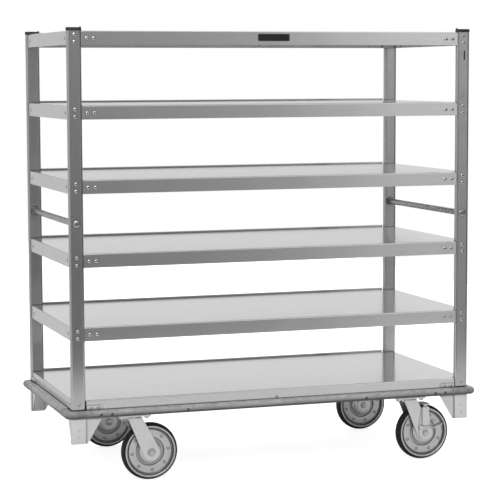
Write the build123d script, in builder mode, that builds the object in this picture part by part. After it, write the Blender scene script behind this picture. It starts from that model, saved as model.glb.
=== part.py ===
from build123d import *
from math import cos, radians, sin, sqrt
import os

# Frame, measured over the outside of the corner posts
frame_length = 1500.0
frame_width = 692.0
shelf_pitch = 254.0
shelf_count = 5  # shelves above the bottom deck

# Corner posts: flat tube with rounded corners
post_width = 52.0
post_depth = 19.0
post_wall = 1.6
post_corner = 9.0
post_foot = 31.0  # the tube ends this far below the deck top
slot_length = 33.0  # in the face of the front right post
slot_width = 5.0
slot_drop = 84.0  # from the top of the post to its middle
slot_shift = 4.0

# Caps that plug the tops of the posts
cap_height = 14.0
cap_overhang = 1.2
cap_plug_depth = 8.0
cap_plug_clearance = 0.2
cap_round = 3.0
cap_ridge_width = 3.0
cap_ridge_height = 3.0

# Shelf pans: folded sheet with notched corners
pan_gauge = 1.6
pan_flange = 48.0
pan_lip = 7.0
pan_bend = 4.0  # outside radius of the folds
deck_flange = 58.0  # the deck carries the casters, so its flange is deeper
front_setback = 0.5  # flange face behind the post face
end_setback = 6.0
post_gap = 1.5  # room round a post in the notch
flange_tab_clearance = 0.4  # between a flange's end tab and the rounded corner of the post

# Brackets inside every pan corner
bracket_gauge = 2.0
bracket_height = 42.0
bracket_drop = 4.5  # clear of the inside of the folds
bracket_front_reach = 58.0  # along the flange, from the post
bracket_end_reach = 57.0

# Rivets
rivet_shank_radius = 3.0
rivet_head_radius = 6.0
rivet_head_height = 2.3
rivet_tail_radius = 4.6
rivet_tail_height = 1.8
rivet_clearance = 0.1
head_round = 0.8  # share of a head's height that its edge is rounded by
flange_rivet_inset = 17.0  # first rivet from the post
flange_rivet_spacing = 25.4
flange_rivet_drop = 26.0
post_rivet_drop = 13.5
post_rivet_spacing = 25.4
end_rivet_inset = 42.0
deck_rivet_drop = 27.8
deck_post_rivet_drop = 15.0
deck_post_rivet_spacing = 23.5

# Corner legs of folded sheet, below the posts
leg_sheet = 2.0
leg_box_depth = 22.5
leg_box_corner = 3.5
leg_length = 94.0  # below the foot of the deck
leg_tab_height = 39.0  # tab above the foot of the deck flange
leg_tab_round = 8.0
leg_front_reach = 58.0
leg_end_reach = 57.0
leg_knee_rise = 88.0  # height of the slanted edge
leg_toe = 6.0  # width of the gusset at its foot
leg_stud_rise = 22.5
leg_stud_spacing = 25.4
leg_stud_radius = 3.0
leg_stud_head_radius = 3.2
leg_stud_head_height = 0.95

# Bumper round the deck
bumper_overhang = 26.0  # beyond the posts
bumper_drop = 3.0  # below the foot of the deck
bumper_height = 26.0
bumper_round = 12.0
sleeve_reach = 72.0  # from the outer face of the post
sleeve_step = 0.8
bumper_joint_gap = 0.3
bumper_screw_rise = 12.0
bumper_screw_inset = 100.0  # nearest screw from the outside of the posts
bumper_screw_spacing = 39.0
bumper_mid_inset = 413.0
bumper_screw_head_radius = 4.2
bumper_screw_head_height = 2.6
bumper_screw_shank_radius = 2.2
bumper_screw_clearance = 0.3
bumper_screw_tail = 5.0

# Push handles between the posts at each end
handle_radius = 11.0
handle_collar_radius = 15.0
handle_collar_width = 6.0
handle_screw_radius = 4.0
handle_screw_depth = 28.0
handle_screw_clearance = 0.15
handle_head_radius = 12.7
handle_head_height = 4.0
handle_socket_radius = 4.5
handle_socket_depth = 2.5

# Bare nameplate on the top shelf
plate_length = 116.0
plate_height = 24.0
plate_thickness = 1.2
plate_corner = 3.0
plate_x = -7.0
plate_drop = 22.0
plate_rim = 2.0
plate_field_corner = 2.0
plate_rim_depth = 0.4

# Caster rails: hat channels under the deck
rail_height = 62.0  # from the casters to the top of the deck
rail_web = 130.0
rail_flange = 20.0
rail_gauge = 3.0

# Casters
caster_end_inset = 226.5  # swivel axis from the outside of the posts
caster_side_inset = 45.0
caster_headroom = 36.8  # from the top of the wheel to the mounting face
caster_trail = 62.0
top_plate_length = 114.0
top_plate_width = 102.0
top_plate_thickness = 6.0
top_plate_corner = 8.0
bolt_spacing_x = 92.1
bolt_spacing_y = 66.7
bolt_radius = 4.7
bolt_clearance = 0.3
bolt_head_width = 16.0
bolt_head_height = 6.0
bolt_nut_height = 7.5
bolt_tip = 2.5

# Swivel: race ring and kingpin
kingpin_radius = 8.0
kingpin_head_radius = 13.0
kingpin_head_height = 8.0
kingpin_head_round = 2.0
running_clearance = 0.05
swivel_gap = 0.3
race_outer_radius = 30.0
race_inner_radius = 20.0
race_height = 5.0

# Fork
crown_radius = 33.0
crown_thickness = 6.0
leg_plate = 5.0
fork_gap = 58.0  # between the two legs
leg_top_width = 48.0
leg_top_shift = 4.0
leg_end_radius = 30.0
fork_bend = 4.0

# Wheel and tyre
wheel_radius = 101.6
tyre_width = 44.0
tyre_depth = 13.6  # from the tread to the seat on the rim
tyre_seat_width = 35.0
tyre_crown = 7.6  # height of the rounded tread
rim_lip_depth = 9.6  # from the tread to the lip of the rim
rim_section = 6.0
rim_width = 42.0
groove_span = 8.5
groove_width = 14.0
disc_width = 26.0
recess_outer_radius = 51.0
recess_inner_radius = 40.0
recess_width = 12.0
cone_radius = 22.0
hub_radius = 17.0
hub_length = 56.0
hub_cone_share = 1 / 3  # share of the hub's overhang that the cone takes
wheel_rivet_circle = 133.0
wheel_rivet_count = 8
wheel_rivet_radius = 3.3
wheel_rivet_height = 1.2

# Axle
axle_radius = 6.35
axle_clearance = 0.15
axle_head_width = 19.0
axle_head_height = 8.0
axle_nut_height = 9.0
axle_tip = 4.0
sleeve_radius = 9.5
thrust_washer_radius = 15.0
side_washer_radius = 13.0

# Wheel brake on the two right-hand casters
brake_sheet = 3.0
brake_hub_radius = 24.0
brake_bar_x = 60.5
brake_bar_width = 25.0
brake_bar_depth = 10.0
brake_bar_wall = 2.5
brake_bar_foot_rise = 30.4  # above the axle
brake_bar_rise = 98.4
pedal_pivot_x = 44.0
pedal_pivot_rise = 22.4
pedal_pin_radius = 4.0
pedal_pin_head = 6.5
pedal_pin_head_height = 1.5
pedal_boss_radius = 8.0
pedal_knee_x = 86.0
pedal_toe_x = 122.0
pedal_toe_rise = 35.4
pedal_height = 9.0
pedal_thickness = 4.0
pedal_gap = 0.3
tread_width = 22.0
tread_thickness = 5.0
shoe_gap = 3.0
shoe_thickness = 4.0
shoe_width = 34.0
shoe_half_angle = 14.0
shoe_bridge_width = 20.0
shoe_bridge_rise = 0.8
push_rod_width = 15.0
push_rod_thickness = 4.0
push_rod_gap = 0.5
push_rod_foot_gap = 1.4  # above the pedal lever

# Places worked out from the sizes above
half_length = frame_length / 2
half_width = frame_width / 2
caster_height = 2 * wheel_radius + caster_headroom  # floor to mounting face
deck_top = caster_height + rail_height
post_x = half_length - post_width / 2
post_y = half_width - post_depth / 2
post_side = half_length - post_width
post_back = half_width - post_depth
post_bottom = deck_top - post_foot
post_top = deck_top + shelf_pitch * shelf_count
flange_face = half_width - front_setback
flange_inside = flange_face - pan_gauge
end_face = half_length - end_setback
end_inside = end_face - pan_gauge
pan_front_end = post_side - post_gap
corner_rise = max(post_corner - front_setback - pan_gauge, 0.0)
flange_tab_end = post_side + post_corner - sqrt(post_corner**2 - corner_rise**2) - flange_tab_clearance
pan_neck = post_back - post_gap
pan_inner_bend = pan_bend - pan_gauge
deck_foot = deck_top - deck_flange
leg_bottom = deck_foot - leg_length
leg_face = flange_face + leg_sheet
leg_end_face = end_face + leg_sheet
bumper_bottom = deck_foot - bumper_drop
bumper_top = bumper_bottom + bumper_height
sleeve_end_x = half_length - sleeve_reach
sleeve_end_y = half_width - sleeve_reach
shelf_tops = [deck_top + shelf_pitch * level for level in range(shelf_count + 1)]
handle_z = (shelf_tops[2] + shelf_tops[3] - pan_flange) / 2
slot_z = post_top - slot_drop
caster_x = half_length - caster_end_inset
caster_y = half_width - caster_side_inset
plate_foot = caster_height - top_plate_thickness
crown_top = plate_foot - swivel_gap - race_height
crown_foot = crown_top - crown_thickness
leg_inside = fork_gap / 2
leg_outside = leg_inside + leg_plate
axle_seat = leg_outside + brake_sheet
tyre_seat_radius = wheel_radius - tyre_depth
tyre_shoulder = wheel_radius - tyre_crown
rim_lip_radius = wheel_radius - rim_lip_depth
rim_inner_radius = rim_lip_radius - rim_section
groove_radius = rim_inner_radius - groove_span
brake_bar_bottom = wheel_radius + brake_bar_foot_rise
brake_bar_top = wheel_radius + brake_bar_rise
pedal_pivot_z = wheel_radius + pedal_pivot_rise
pedal_toe_z = wheel_radius + pedal_toe_rise
rivet_hole = rivet_shank_radius + rivet_clearance
corners = {
    "front_left": (-1, -1),
    "front_right": (1, -1),
    "back_left": (-1, 1),
    "back_right": (1, 1),
}


def block(x_span, y_span, z_span, mode=Mode.ADD):
    """Box between two places on each axis."""
    middle = tuple((low + high) / 2 for low, high in (x_span, y_span, z_span))
    sizes = [abs(high - low) for low, high in (x_span, y_span, z_span)]
    with Locations(middle):
        Box(*sizes, mode=mode)


def write(piece, name):
    """Label one finished piece and write its file."""
    piece.label = name
    export_step(piece, f"parts/{name}.step")


def write_at(piece, name, x, y):
    """Write a copy of a piece that was made at the origin."""
    write(piece.moved(Location((x, y, 0))), name)


def drill_along_y(spots, radius, y_span):
    """Round holes along Y at a list of (x, z) spots."""
    low, high = y_span
    with BuildSketch(Plane.XZ.offset(-low)) as holes:
        with Locations(*spots):
            Circle(radius)
    extrude(holes.sketch, amount=low - high, mode=Mode.SUBTRACT)


def drill_along_x(spots, radius, x_span):
    """Round holes along X at a list of (y, z) spots."""
    low, high = x_span
    with BuildSketch(Plane.YZ.offset(low)) as holes:
        with Locations(*spots):
            Circle(radius)
    extrude(holes.sketch, amount=high - low, mode=Mode.SUBTRACT)


def headed_pin(head_radius, head_height, shank_radius, shank_length):
    """Round-headed screw along Z with its head standing on z = 0."""
    with BuildPart() as pin:
        with BuildSketch():
            Circle(head_radius)
        extrude(amount=head_height)
        fillet(pin.edges().group_by(Axis.Z)[-1], head_height * head_round)
        with BuildSketch():
            Circle(shank_radius)
        extrude(amount=-shank_length)
    return pin.part


# Rivet places
def post_rivet_heights(level):
    """Heights of the two rivets that hold a shelf corner to its post."""
    top = shelf_tops[level]
    if level == 0:
        return [top - deck_post_rivet_drop, top - deck_post_rivet_drop - deck_post_rivet_spacing]
    return [top - post_rivet_drop, top - post_rivet_drop - post_rivet_spacing]


def flange_rivet_height(level):
    """Height of the flange rivets of one shelf."""
    if level == 0:
        return deck_top - deck_rivet_drop
    return shelf_tops[level] - flange_rivet_drop


flange_rivet_x = [
    post_side - flange_rivet_inset,
    post_side - flange_rivet_inset - flange_rivet_spacing,
]
end_rivet_y = post_back - end_rivet_inset


# Bumper screw places, shared by the deck, legs and bumpers
bumper_screw_z = bumper_bottom + bumper_screw_rise
bumper_screw_hole = bumper_screw_shank_radius + bumper_screw_clearance
front_screw_x = [
    half_length - bumper_screw_inset,
    half_length - bumper_screw_inset - bumper_screw_spacing,
    half_length - bumper_mid_inset,
]
end_screw_y = [
    half_width - bumper_screw_inset,
    half_width - bumper_screw_inset - bumper_screw_spacing,
]
front_screw_spots = [(side * x, bumper_screw_z) for side in (-1, 1) for x in front_screw_x]
end_screw_spots = [(side * y, bumper_screw_z) for side in (-1, 1) for y in end_screw_y]


# Corner posts and their caps
def corner_post(side_x, side_y):
    """Tube with rivet holes at every shelf and a hole for the handle screw."""
    x = side_x * post_x
    y = side_y * post_y
    heights = [z for level in range(shelf_count + 1) for z in post_rivet_heights(level)]
    spots = [(x, z) for z in heights if z > post_bottom]
    reach = (y - post_depth, y + post_depth)
    with BuildPart() as post:
        with BuildSketch(Plane.XY.offset(post_bottom)):
            with Locations((x, y)):
                RectangleRounded(post_width, post_depth, post_corner)
                RectangleRounded(
                    post_width - 2 * post_wall,
                    post_depth - 2 * post_wall,
                    post_corner - post_wall,
                    mode=Mode.SUBTRACT,
                )
        extrude(amount=post_top - post_bottom)
        drill_along_y(spots, rivet_hole, reach)
        drill_along_y([(x, handle_z)], handle_screw_radius + handle_screw_clearance, reach)
        if (side_x, side_y) == corners["front_right"]:
            with BuildSketch(Plane.XZ.offset(-y)) as slot:
                with Locations((x + slot_shift, slot_z)):
                    SlotOverall(slot_length, slot_width, rotation=90)
            extrude(slot.sketch, amount=post_depth, mode=Mode.SUBTRACT)
    return post.part


def post_cap(side_x, side_y):
    """Rounded cap head on a plug, with a low ridge on its inboard side."""
    x = side_x * post_x
    y = side_y * post_y
    plug_inset = 2 * (post_wall + cap_plug_clearance)
    ridge_x = side_x * (post_side + cap_ridge_width)
    head_top = post_top + cap_height - cap_ridge_height
    with BuildPart() as cap:
        with BuildSketch(Plane.XY.offset(post_top)):
            with Locations((x, y)):
                RectangleRounded(
                    post_width + 2 * cap_overhang,
                    post_depth + 2 * cap_overhang,
                    post_corner + cap_overhang,
                )
        extrude(amount=head_top - post_top)
        fillet(cap.faces().sort_by(Axis.Z)[-1].edges(), cap_round)
        block(
            (ridge_x - side_x * cap_ridge_width / 2, ridge_x + side_x * cap_ridge_width / 2),
            (y - post_depth / 2 + cap_round, y + post_depth / 2 - cap_round),
            (head_top - cap_round, head_top + cap_ridge_height),
        )
        with BuildSketch(Plane.XY.offset(post_top)):
            with Locations((x, y)):
                RectangleRounded(
                    post_width - plug_inset,
                    post_depth - plug_inset,
                    post_corner - post_wall - cap_plug_clearance,
                )
        extrude(amount=-cap_plug_depth)
    return cap.part


# Shelves and deck
def pan_blank(top, foot, half_x, half_y, bend):
    """Block with notched corners and round folds: a pan's outside, or its hollow."""
    with BuildPart() as blank:
        with BuildSketch(Plane.XY.offset(top)):
            Rectangle(2 * pan_front_end, 2 * half_y)
            Rectangle(2 * half_x, 2 * pan_neck)
        extrude(amount=foot - top)
        front_fold = blank.edges().filter_by(Axis.X).group_by(Axis.Z)[-1].group_by(Axis.Y)[0]
        folds = blank.edges().filter_by(Axis.Y).group_by(Axis.Z)[-1]
        end_folds = folds.group_by(Axis.X)[0] + folds.group_by(Axis.X)[-1]
        fillet(front_fold + end_folds, bend)
    return blank.part


def shelf_pan(level):
    """Folded pan: flanges down, a lip up along the back, notches and end tabs at the posts."""
    top = shelf_tops[level]
    foot = top - (deck_flange if level == 0 else pan_flange)
    rivet_z = flange_rivet_height(level)
    rivet_x = [side * x for side in (-1, 1) for x in flange_rivet_x]
    with BuildPart() as pan:
        add(pan_blank(top, foot, end_face, flange_face, pan_bend))
        hollow = pan_blank(top - pan_gauge, foot, end_inside, flange_inside, pan_inner_bend)
        add(hollow, mode=Mode.SUBTRACT)
        block(
            (-pan_front_end, pan_front_end),
            (flange_inside, flange_face),
            (top - pan_gauge, top + pan_lip),
        )
        drill_along_y([(x, rivet_z) for x in rivet_x], rivet_hole, (-half_width, half_width))
        end_spots = [(side * end_rivet_y, rivet_z) for side in (-1, 1)]
        drill_along_x(end_spots, rivet_hole, (-half_length, half_length))
        if level > 0:
            for side_x, side_y in corners.values():
                block(
                    (side_x * (pan_front_end - pan_gauge), side_x * flange_tab_end),
                    (side_y * flange_inside, side_y * flange_face),
                    (foot, top - pan_bend),
                )
        if level == 0:
            drill_along_y([(0, rivet_z)], rivet_hole, (-half_width, -flange_inside + pan_gauge))
            drill_along_y(front_screw_spots, bumper_screw_hole, (-half_width, half_width))
            drill_along_x(end_screw_spots, bumper_screw_hole, (-half_length, half_length))
    return pan.part


# Brackets in the corners of the pans
def corner_bracket(side_x, side_y, level):
    """Joggled strip: along the flange, behind the post, along the end flange."""
    foot = shelf_tops[level] - bracket_drop - bracket_height
    half = bracket_gauge / 2
    flange_y = flange_inside - half
    back_y = post_back - half
    jog_x = pan_front_end - half
    end_x = end_inside - half
    path = [
        (post_side - bracket_front_reach, flange_y),
        (jog_x, flange_y),
        (jog_x, back_y),
        (end_x, back_y),
        (end_x, post_back - bracket_end_reach),
    ]
    with BuildPart() as bracket:
        with BuildSketch(Plane.XY.offset(foot)):
            with BuildLine():
                Polyline(*[(side_x * x, side_y * y) for x, y in path])
            trace(line_width=bracket_gauge)
        extrude(amount=bracket_height)
        rivet_z = flange_rivet_height(level)
        flange_spots = [(side_x * x, rivet_z) for x in flange_rivet_x]
        post_spots = [(side_x * post_x, z) for z in post_rivet_heights(level)]
        y_ends = (side_y * (post_back - post_depth), side_y * half_width)
        drill_along_y(flange_spots + post_spots, rivet_hole, (min(y_ends), max(y_ends)))
        x_ends = (side_x * post_side, side_x * half_length)
        drill_along_x([(side_y * end_rivet_y, rivet_z)], rivet_hole, (min(x_ends), max(x_ends)))
    return bracket.part


def rivet(grip):
    """Domed rivet along Z: the head stands on z = 0, the tail is at -grip."""
    with BuildPart() as body:
        add(headed_pin(rivet_head_radius, rivet_head_height, rivet_shank_radius, grip))
        with BuildSketch(Plane.XY.offset(-grip)):
            Circle(rivet_tail_radius)
        extrude(amount=-rivet_tail_height)
    return body.part


def shelf_rivets():
    """Every rivet of the six pans, placed on the faces they clamp."""
    pan_grip = pan_gauge + bracket_gauge
    post_grip = half_width - post_back + bracket_gauge
    placed = {pan_grip: [], pan_grip + leg_sheet: [], post_grip: [], bracket_gauge: []}
    for side_x, side_y in corners.values():
        front = (0, side_y, 0)
        for level in range(shelf_count + 1):
            rivet_z = flange_rivet_height(level)
            sheet = leg_sheet if level == 0 else 0.0
            grip = pan_grip + sheet
            for x in flange_rivet_x:
                spot = (side_x * x, side_y * (flange_face + sheet), rivet_z)
                placed[grip].append(Plane(spot, z_dir=front))
            spot = (side_x * (end_face + sheet), side_y * end_rivet_y, rivet_z)
            placed[grip].append(Plane(spot, z_dir=(side_x, 0, 0)))
            for z in post_rivet_heights(level):
                on_post = z > post_bottom
                face = half_width if on_post else post_back
                spot = (side_x * post_x, side_y * face, z)
                placed[post_grip if on_post else bracket_gauge].append(Plane(spot, z_dir=front))
    centre = (0, -flange_face, flange_rivet_height(0))
    centre_plane = Plane(centre, z_dir=(0, -1, 0))
    solids = [rivet(pan_gauge).moved(centre_plane.location)]
    for grip, planes in placed.items():
        pattern = rivet(grip)
        solids += [pattern.moved(plane.location) for plane in planes]
    return Compound(children=solids)


# Corner legs
def corner_leg(side_x, side_y):
    """Boxed leg under the post with a gusset along the front and one along the end."""
    foot_front = post_side - leg_toe
    foot_end = post_back - leg_toe
    tab_x = post_side - leg_front_reach
    tab_y = post_back - leg_end_reach
    tab_top = deck_foot + leg_tab_height
    knee_z = leg_bottom + leg_knee_rise
    tab_side = pan_front_end
    box_back = leg_face - leg_box_depth
    box_y = (leg_face + box_back) / 2
    front_outline = [
        (post_side + leg_sheet, leg_bottom),
        (foot_front, leg_bottom),
        (tab_x, knee_z),
        (tab_x, tab_top),
        (tab_side, tab_top),
        (tab_side, deck_foot),
        (post_side + leg_sheet, deck_foot),
    ]
    end_outline = [
        (post_back - leg_sheet / 2, leg_bottom),
        (foot_end, leg_bottom),
        (tab_y, knee_z),
        (tab_y, tab_top),
        (post_back - leg_sheet, tab_top),
        (post_back - leg_sheet, deck_foot),
        (post_back - leg_sheet / 2, deck_foot),
    ]
    with BuildPart() as leg:
        with BuildSketch(Plane.XY.offset(leg_bottom)):
            with Locations((side_x * post_x, side_y * box_y)):
                RectangleRounded(post_width, leg_box_depth, leg_box_corner)
                RectangleRounded(
                    post_width - 2 * leg_sheet,
                    leg_box_depth - 2 * leg_sheet,
                    leg_box_corner - leg_sheet,
                    mode=Mode.SUBTRACT,
                )
        extrude(amount=deck_foot - leg_bottom)
        with BuildSketch(Plane.XZ.offset(-side_y * leg_face)) as front_sheet:
            with BuildLine():
                Polyline(*[(side_x * x, z) for x, z in front_outline], close=True)
            make_face()
            tab_corner = front_sheet.vertices().sort_by_distance((side_x * tab_x, 0, tab_top))
            fillet(tab_corner[0], leg_tab_round)
        extrude(amount=side_y * leg_sheet)
        with BuildSketch(Plane.YZ.offset(side_x * leg_end_face)) as end_sheet:
            with BuildLine():
                Polyline(*[(side_y * y, z) for y, z in end_outline], close=True)
            make_face()
            tab_corner = end_sheet.vertices().sort_by_distance((0, side_y * tab_y, tab_top))
            fillet(tab_corner[0], leg_tab_round)
        extrude(amount=-side_x * leg_sheet)
        front_reach = (side_y * (flange_inside - leg_sheet), side_y * (leg_face + leg_sheet))
        front_span = (min(front_reach), max(front_reach))
        rivet_z = flange_rivet_height(0)
        screw_x = side_x * front_screw_x[0]
        drill_along_y([(side_x * x, rivet_z) for x in flange_rivet_x], rivet_hole, front_span)
        drill_along_y([(screw_x, bumper_screw_z)], bumper_screw_hole, front_span)
        drill_along_y(leg_stud_spots(side_x), leg_stud_radius + rivet_clearance, front_span)
        end_reach = (side_x * post_side, side_x * half_length)
        end_span = (min(end_reach), max(end_reach))
        drill_along_x([(side_y * end_rivet_y, rivet_z)], rivet_hole, end_span)
    return leg.part


def leg_stud_spots(side_x):
    """Two places, one above the other, on the face of a leg."""
    low = leg_bottom + leg_stud_rise
    return [(side_x * post_x, low), (side_x * post_x, low + leg_stud_spacing)]


def leg_studs():
    """Short flush studs in the faces of the four legs."""
    with BuildPart() as stud:
        with BuildSketch(Plane.XZ):
            Circle(leg_stud_radius)
        extrude(amount=leg_sheet)
        with BuildSketch(Plane.XZ.offset(leg_sheet)):
            Circle(leg_stud_head_radius)
        extrude(amount=leg_stud_head_height)
    solids = []
    for side_x, side_y in corners.values():
        for x, z in leg_stud_spots(side_x):
            turn = 0 if side_y < 0 else 180
            face = side_y * (leg_face - leg_sheet)
            solids.append(stud.part.moved(Location((x, face, z), (0, 0, turn))))
    return Compound(children=solids)


# Bumpers
def bumper_ring(step, inner_x, inner_y):
    """Half-round moulding round the deck, cut to pieces by its callers."""
    with BuildPart() as ring:
        with BuildSketch(Plane.XY.offset(bumper_bottom)):
            RectangleRounded(
                2 * (half_length + bumper_overhang - step),
                2 * (half_width + bumper_overhang - step),
                bumper_overhang - step,
            )
        extrude(amount=bumper_height)
        rims = ring.faces().filter_by(Axis.Z)
        fillet(rims.edges(), bumper_round)
        block((-inner_x, inner_x), (-inner_y, inner_y), (bumper_bottom, bumper_top), Mode.SUBTRACT)
    return ring.part


def bumper_rail(side_x, side_y):
    """Straight rail on one side of the deck, bored for its screws."""
    end_x = sleeve_end_x - bumper_joint_gap
    end_y = sleeve_end_y - bumper_joint_gap
    reach_x = half_length + bumper_overhang
    reach_y = half_width + bumper_overhang
    height = (bumper_bottom, bumper_top)
    head_bore = bumper_screw_head_radius + bumper_screw_clearance
    head_seat = sleeve_step + bumper_screw_head_height
    with BuildPart() as rail:
        add(bumper_ring(sleeve_step, leg_end_face, leg_face))
        if side_x == 0:
            ends = (side_y * reach_y, side_y * (reach_y - head_seat))
            block((-end_x, end_x), (0, side_y * reach_y), height, Mode.INTERSECT)
            drill_along_y(front_screw_spots, bumper_screw_hole, (-reach_y, reach_y))
            drill_along_y(front_screw_spots, head_bore, (min(ends), max(ends)))
        else:
            ends = (side_x * reach_x, side_x * (reach_x - head_seat))
            block((0, side_x * reach_x), (-end_y, end_y), height, Mode.INTERSECT)
            drill_along_x(end_screw_spots, bumper_screw_hole, (-reach_x, reach_x))
            drill_along_x(end_screw_spots, head_bore, (min(ends), max(ends)))
    return rail.part


def corner_sleeves():
    """Four corner pieces that cover the ends of the rails."""
    reach_x = half_length + bumper_overhang
    reach_y = half_width + bumper_overhang
    height = (bumper_bottom, bumper_top)
    with BuildPart() as sleeves:
        add(bumper_ring(0, half_length + bumper_joint_gap, leg_face + bumper_joint_gap))
        block((-sleeve_end_x, sleeve_end_x), (-reach_y, reach_y), height, Mode.SUBTRACT)
        block((-reach_x, reach_x), (-sleeve_end_y, sleeve_end_y), height, Mode.SUBTRACT)
    return sleeves.part


def bumper_screws():
    """Pan-head screws sunk in the rails, through the deck flange."""
    front_grip = bumper_overhang - sleeve_step - bumper_screw_head_height + front_setback
    end_grip = bumper_overhang - sleeve_step - bumper_screw_head_height + end_setback
    solids = []
    for grip, spots, reach, along_y in (
        (front_grip, front_screw_spots, half_width, True),
        (end_grip, end_screw_spots, half_length, False),
    ):
        seat = reach + bumper_overhang - sleeve_step - bumper_screw_head_height
        pattern = headed_pin(
            bumper_screw_head_radius,
            bumper_screw_head_height,
            bumper_screw_shank_radius,
            grip + pan_gauge + bumper_screw_tail,
        )
        for side in (-1, 1):
            for across, z in spots:
                spot = (across, side * seat, z) if along_y else (side * seat, across, z)
                out = (0, side, 0) if along_y else (side, 0, 0)
                solids.append(pattern.moved(Plane(spot, z_dir=out).location))
    return Compound(children=solids)


# Push handles
def handle_rod(side_x):
    """Bar between two posts, with a collar at each end and a bore for its screws."""
    length = 2 * post_back
    with BuildPart() as rod:
        with BuildSketch(Plane.XZ.offset(-post_back)):
            with Locations((side_x * post_x, handle_z)):
                Circle(handle_radius)
        extrude(amount=length)
        for start in (-post_back, post_back - handle_collar_width):
            with BuildSketch(Plane.XZ.offset(start)):
                with Locations((side_x * post_x, handle_z)):
                    Circle(handle_collar_radius)
            extrude(amount=handle_collar_width)
        bore = handle_screw_radius + handle_screw_clearance
        depth = post_back - handle_screw_depth - handle_screw_clearance
        spot = [(side_x * post_x, handle_z)]
        drill_along_y(spot, bore, (-half_width, -depth))
        drill_along_y(spot, bore, (depth, half_width))
    return rod.part


def handle_screws():
    """Large round heads on the posts, with a socket, screwed into the rods."""
    with BuildPart() as screw:
        add(
            headed_pin(
                handle_head_radius,
                handle_head_height,
                handle_screw_radius,
                post_depth + handle_screw_depth,
            )
        )
        with BuildSketch(Plane.XY.offset(handle_head_height)):
            RegularPolygon(handle_socket_radius, side_count=6)
        extrude(amount=-handle_socket_depth, mode=Mode.SUBTRACT)
    solids = []
    for side_x, side_y in corners.values():
        spot = (side_x * post_x, side_y * half_width, handle_z)
        seat = Plane(spot, z_dir=(0, side_y, 0))
        solids.append(screw.part.moved(seat.location))
    return Compound(children=solids)


# Nameplate, left bare
def nameplate():
    """Thin plate with a raised rim on the front flange of the top shelf."""
    spot = (plate_x, post_top - plate_drop)
    with BuildPart() as plate:
        with BuildSketch(Plane.XZ.offset(flange_face)):
            with Locations(spot):
                RectangleRounded(plate_length, plate_height, plate_corner)
        extrude(amount=plate_thickness)
        with BuildSketch(Plane.XZ.offset(flange_face + plate_thickness - plate_rim_depth)):
            with Locations(spot):
                RectangleRounded(
                    plate_length - 2 * plate_rim,
                    plate_height - 2 * plate_rim,
                    plate_field_corner,
                )
        extrude(amount=plate_rim_depth, mode=Mode.SUBTRACT)
    return plate.part


# Caster rails
def caster_rail(side_x):
    """Hat channel across the deck, web down, that takes two casters."""
    x = side_x * caster_x
    outer = rail_web / 2
    inner = outer - rail_gauge
    hat = outer + rail_flange
    top = deck_top - pan_gauge
    rail_end = flange_inside - pan_inner_bend
    outline = [
        (-hat, top),
        (-hat, top - rail_gauge),
        (-outer, top - rail_gauge),
        (-outer, caster_height),
        (outer, caster_height),
        (outer, top - rail_gauge),
        (hat, top - rail_gauge),
        (hat, top),
        (inner, top),
        (inner, caster_height + rail_gauge),
        (-inner, caster_height + rail_gauge),
        (-inner, top),
    ]
    with BuildPart() as rail:
        with BuildSketch(Plane.XZ.offset(-rail_end)):
            with BuildLine():
                Polyline(*[(x + across, z) for across, z in outline], close=True)
            make_face()
        extrude(amount=2 * rail_end)
        with BuildSketch(Plane.XY.offset(caster_height)):
            for side_y in (-1, 1):
                with Locations((x, side_y * caster_y)):
                    with GridLocations(bolt_spacing_x, bolt_spacing_y, 2, 2):
                        Circle(bolt_radius + bolt_clearance)
        extrude(amount=rail_gauge, mode=Mode.SUBTRACT)
    return rail.part


def caster_bolts():
    """Sixteen bolts with their nuts, four to each caster."""
    nut_foot = plate_foot - bolt_nut_height
    head_seat = caster_height + rail_gauge
    with BuildPart() as bolt:
        with BuildSketch(Plane.XY.offset(nut_foot - bolt_tip)):
            Circle(bolt_radius)
        extrude(amount=head_seat - nut_foot + bolt_tip)
        with BuildSketch(Plane.XY.offset(head_seat)):
            RegularPolygon(bolt_head_width / 2, side_count=6, major_radius=False)
        extrude(amount=bolt_head_height)
    with BuildPart() as nut:
        with BuildSketch(Plane.XY.offset(nut_foot)):
            RegularPolygon(bolt_head_width / 2, side_count=6, major_radius=False)
            Circle(bolt_radius, mode=Mode.SUBTRACT)
        extrude(amount=bolt_nut_height)
    solids = []
    for side_x, side_y in corners.values():
        for step_x in (-1, 1):
            for step_y in (-1, 1):
                x = side_x * caster_x + step_x * bolt_spacing_x / 2
                y = side_y * caster_y + step_y * bolt_spacing_y / 2
                solids.append(bolt.part.moved(Location((x, y, 0))))
                solids.append(nut.part.moved(Location((x, y, 0))))
    return Compound(children=solids)


# Caster parts, made about a swivel axis at the origin
def top_plate():
    """Mounting plate with the kingpin peened into it."""
    head_top = crown_foot - swivel_gap
    with BuildPart() as plate:
        with BuildSketch(Plane.XY.offset(plate_foot)):
            RectangleRounded(top_plate_length, top_plate_width, top_plate_corner)
            with GridLocations(bolt_spacing_x, bolt_spacing_y, 2, 2):
                Circle(bolt_radius + bolt_clearance, mode=Mode.SUBTRACT)
        extrude(amount=top_plate_thickness)
        with BuildSketch(Plane.XY.offset(head_top)):
            Circle(kingpin_radius)
        extrude(amount=plate_foot - head_top)
        with BuildSketch(Plane.XY.offset(head_top)):
            Circle(kingpin_head_radius)
        extrude(amount=-kingpin_head_height)
        fillet(plate.edges().group_by(Axis.Z)[0], kingpin_head_round)
    return plate.part


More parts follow.
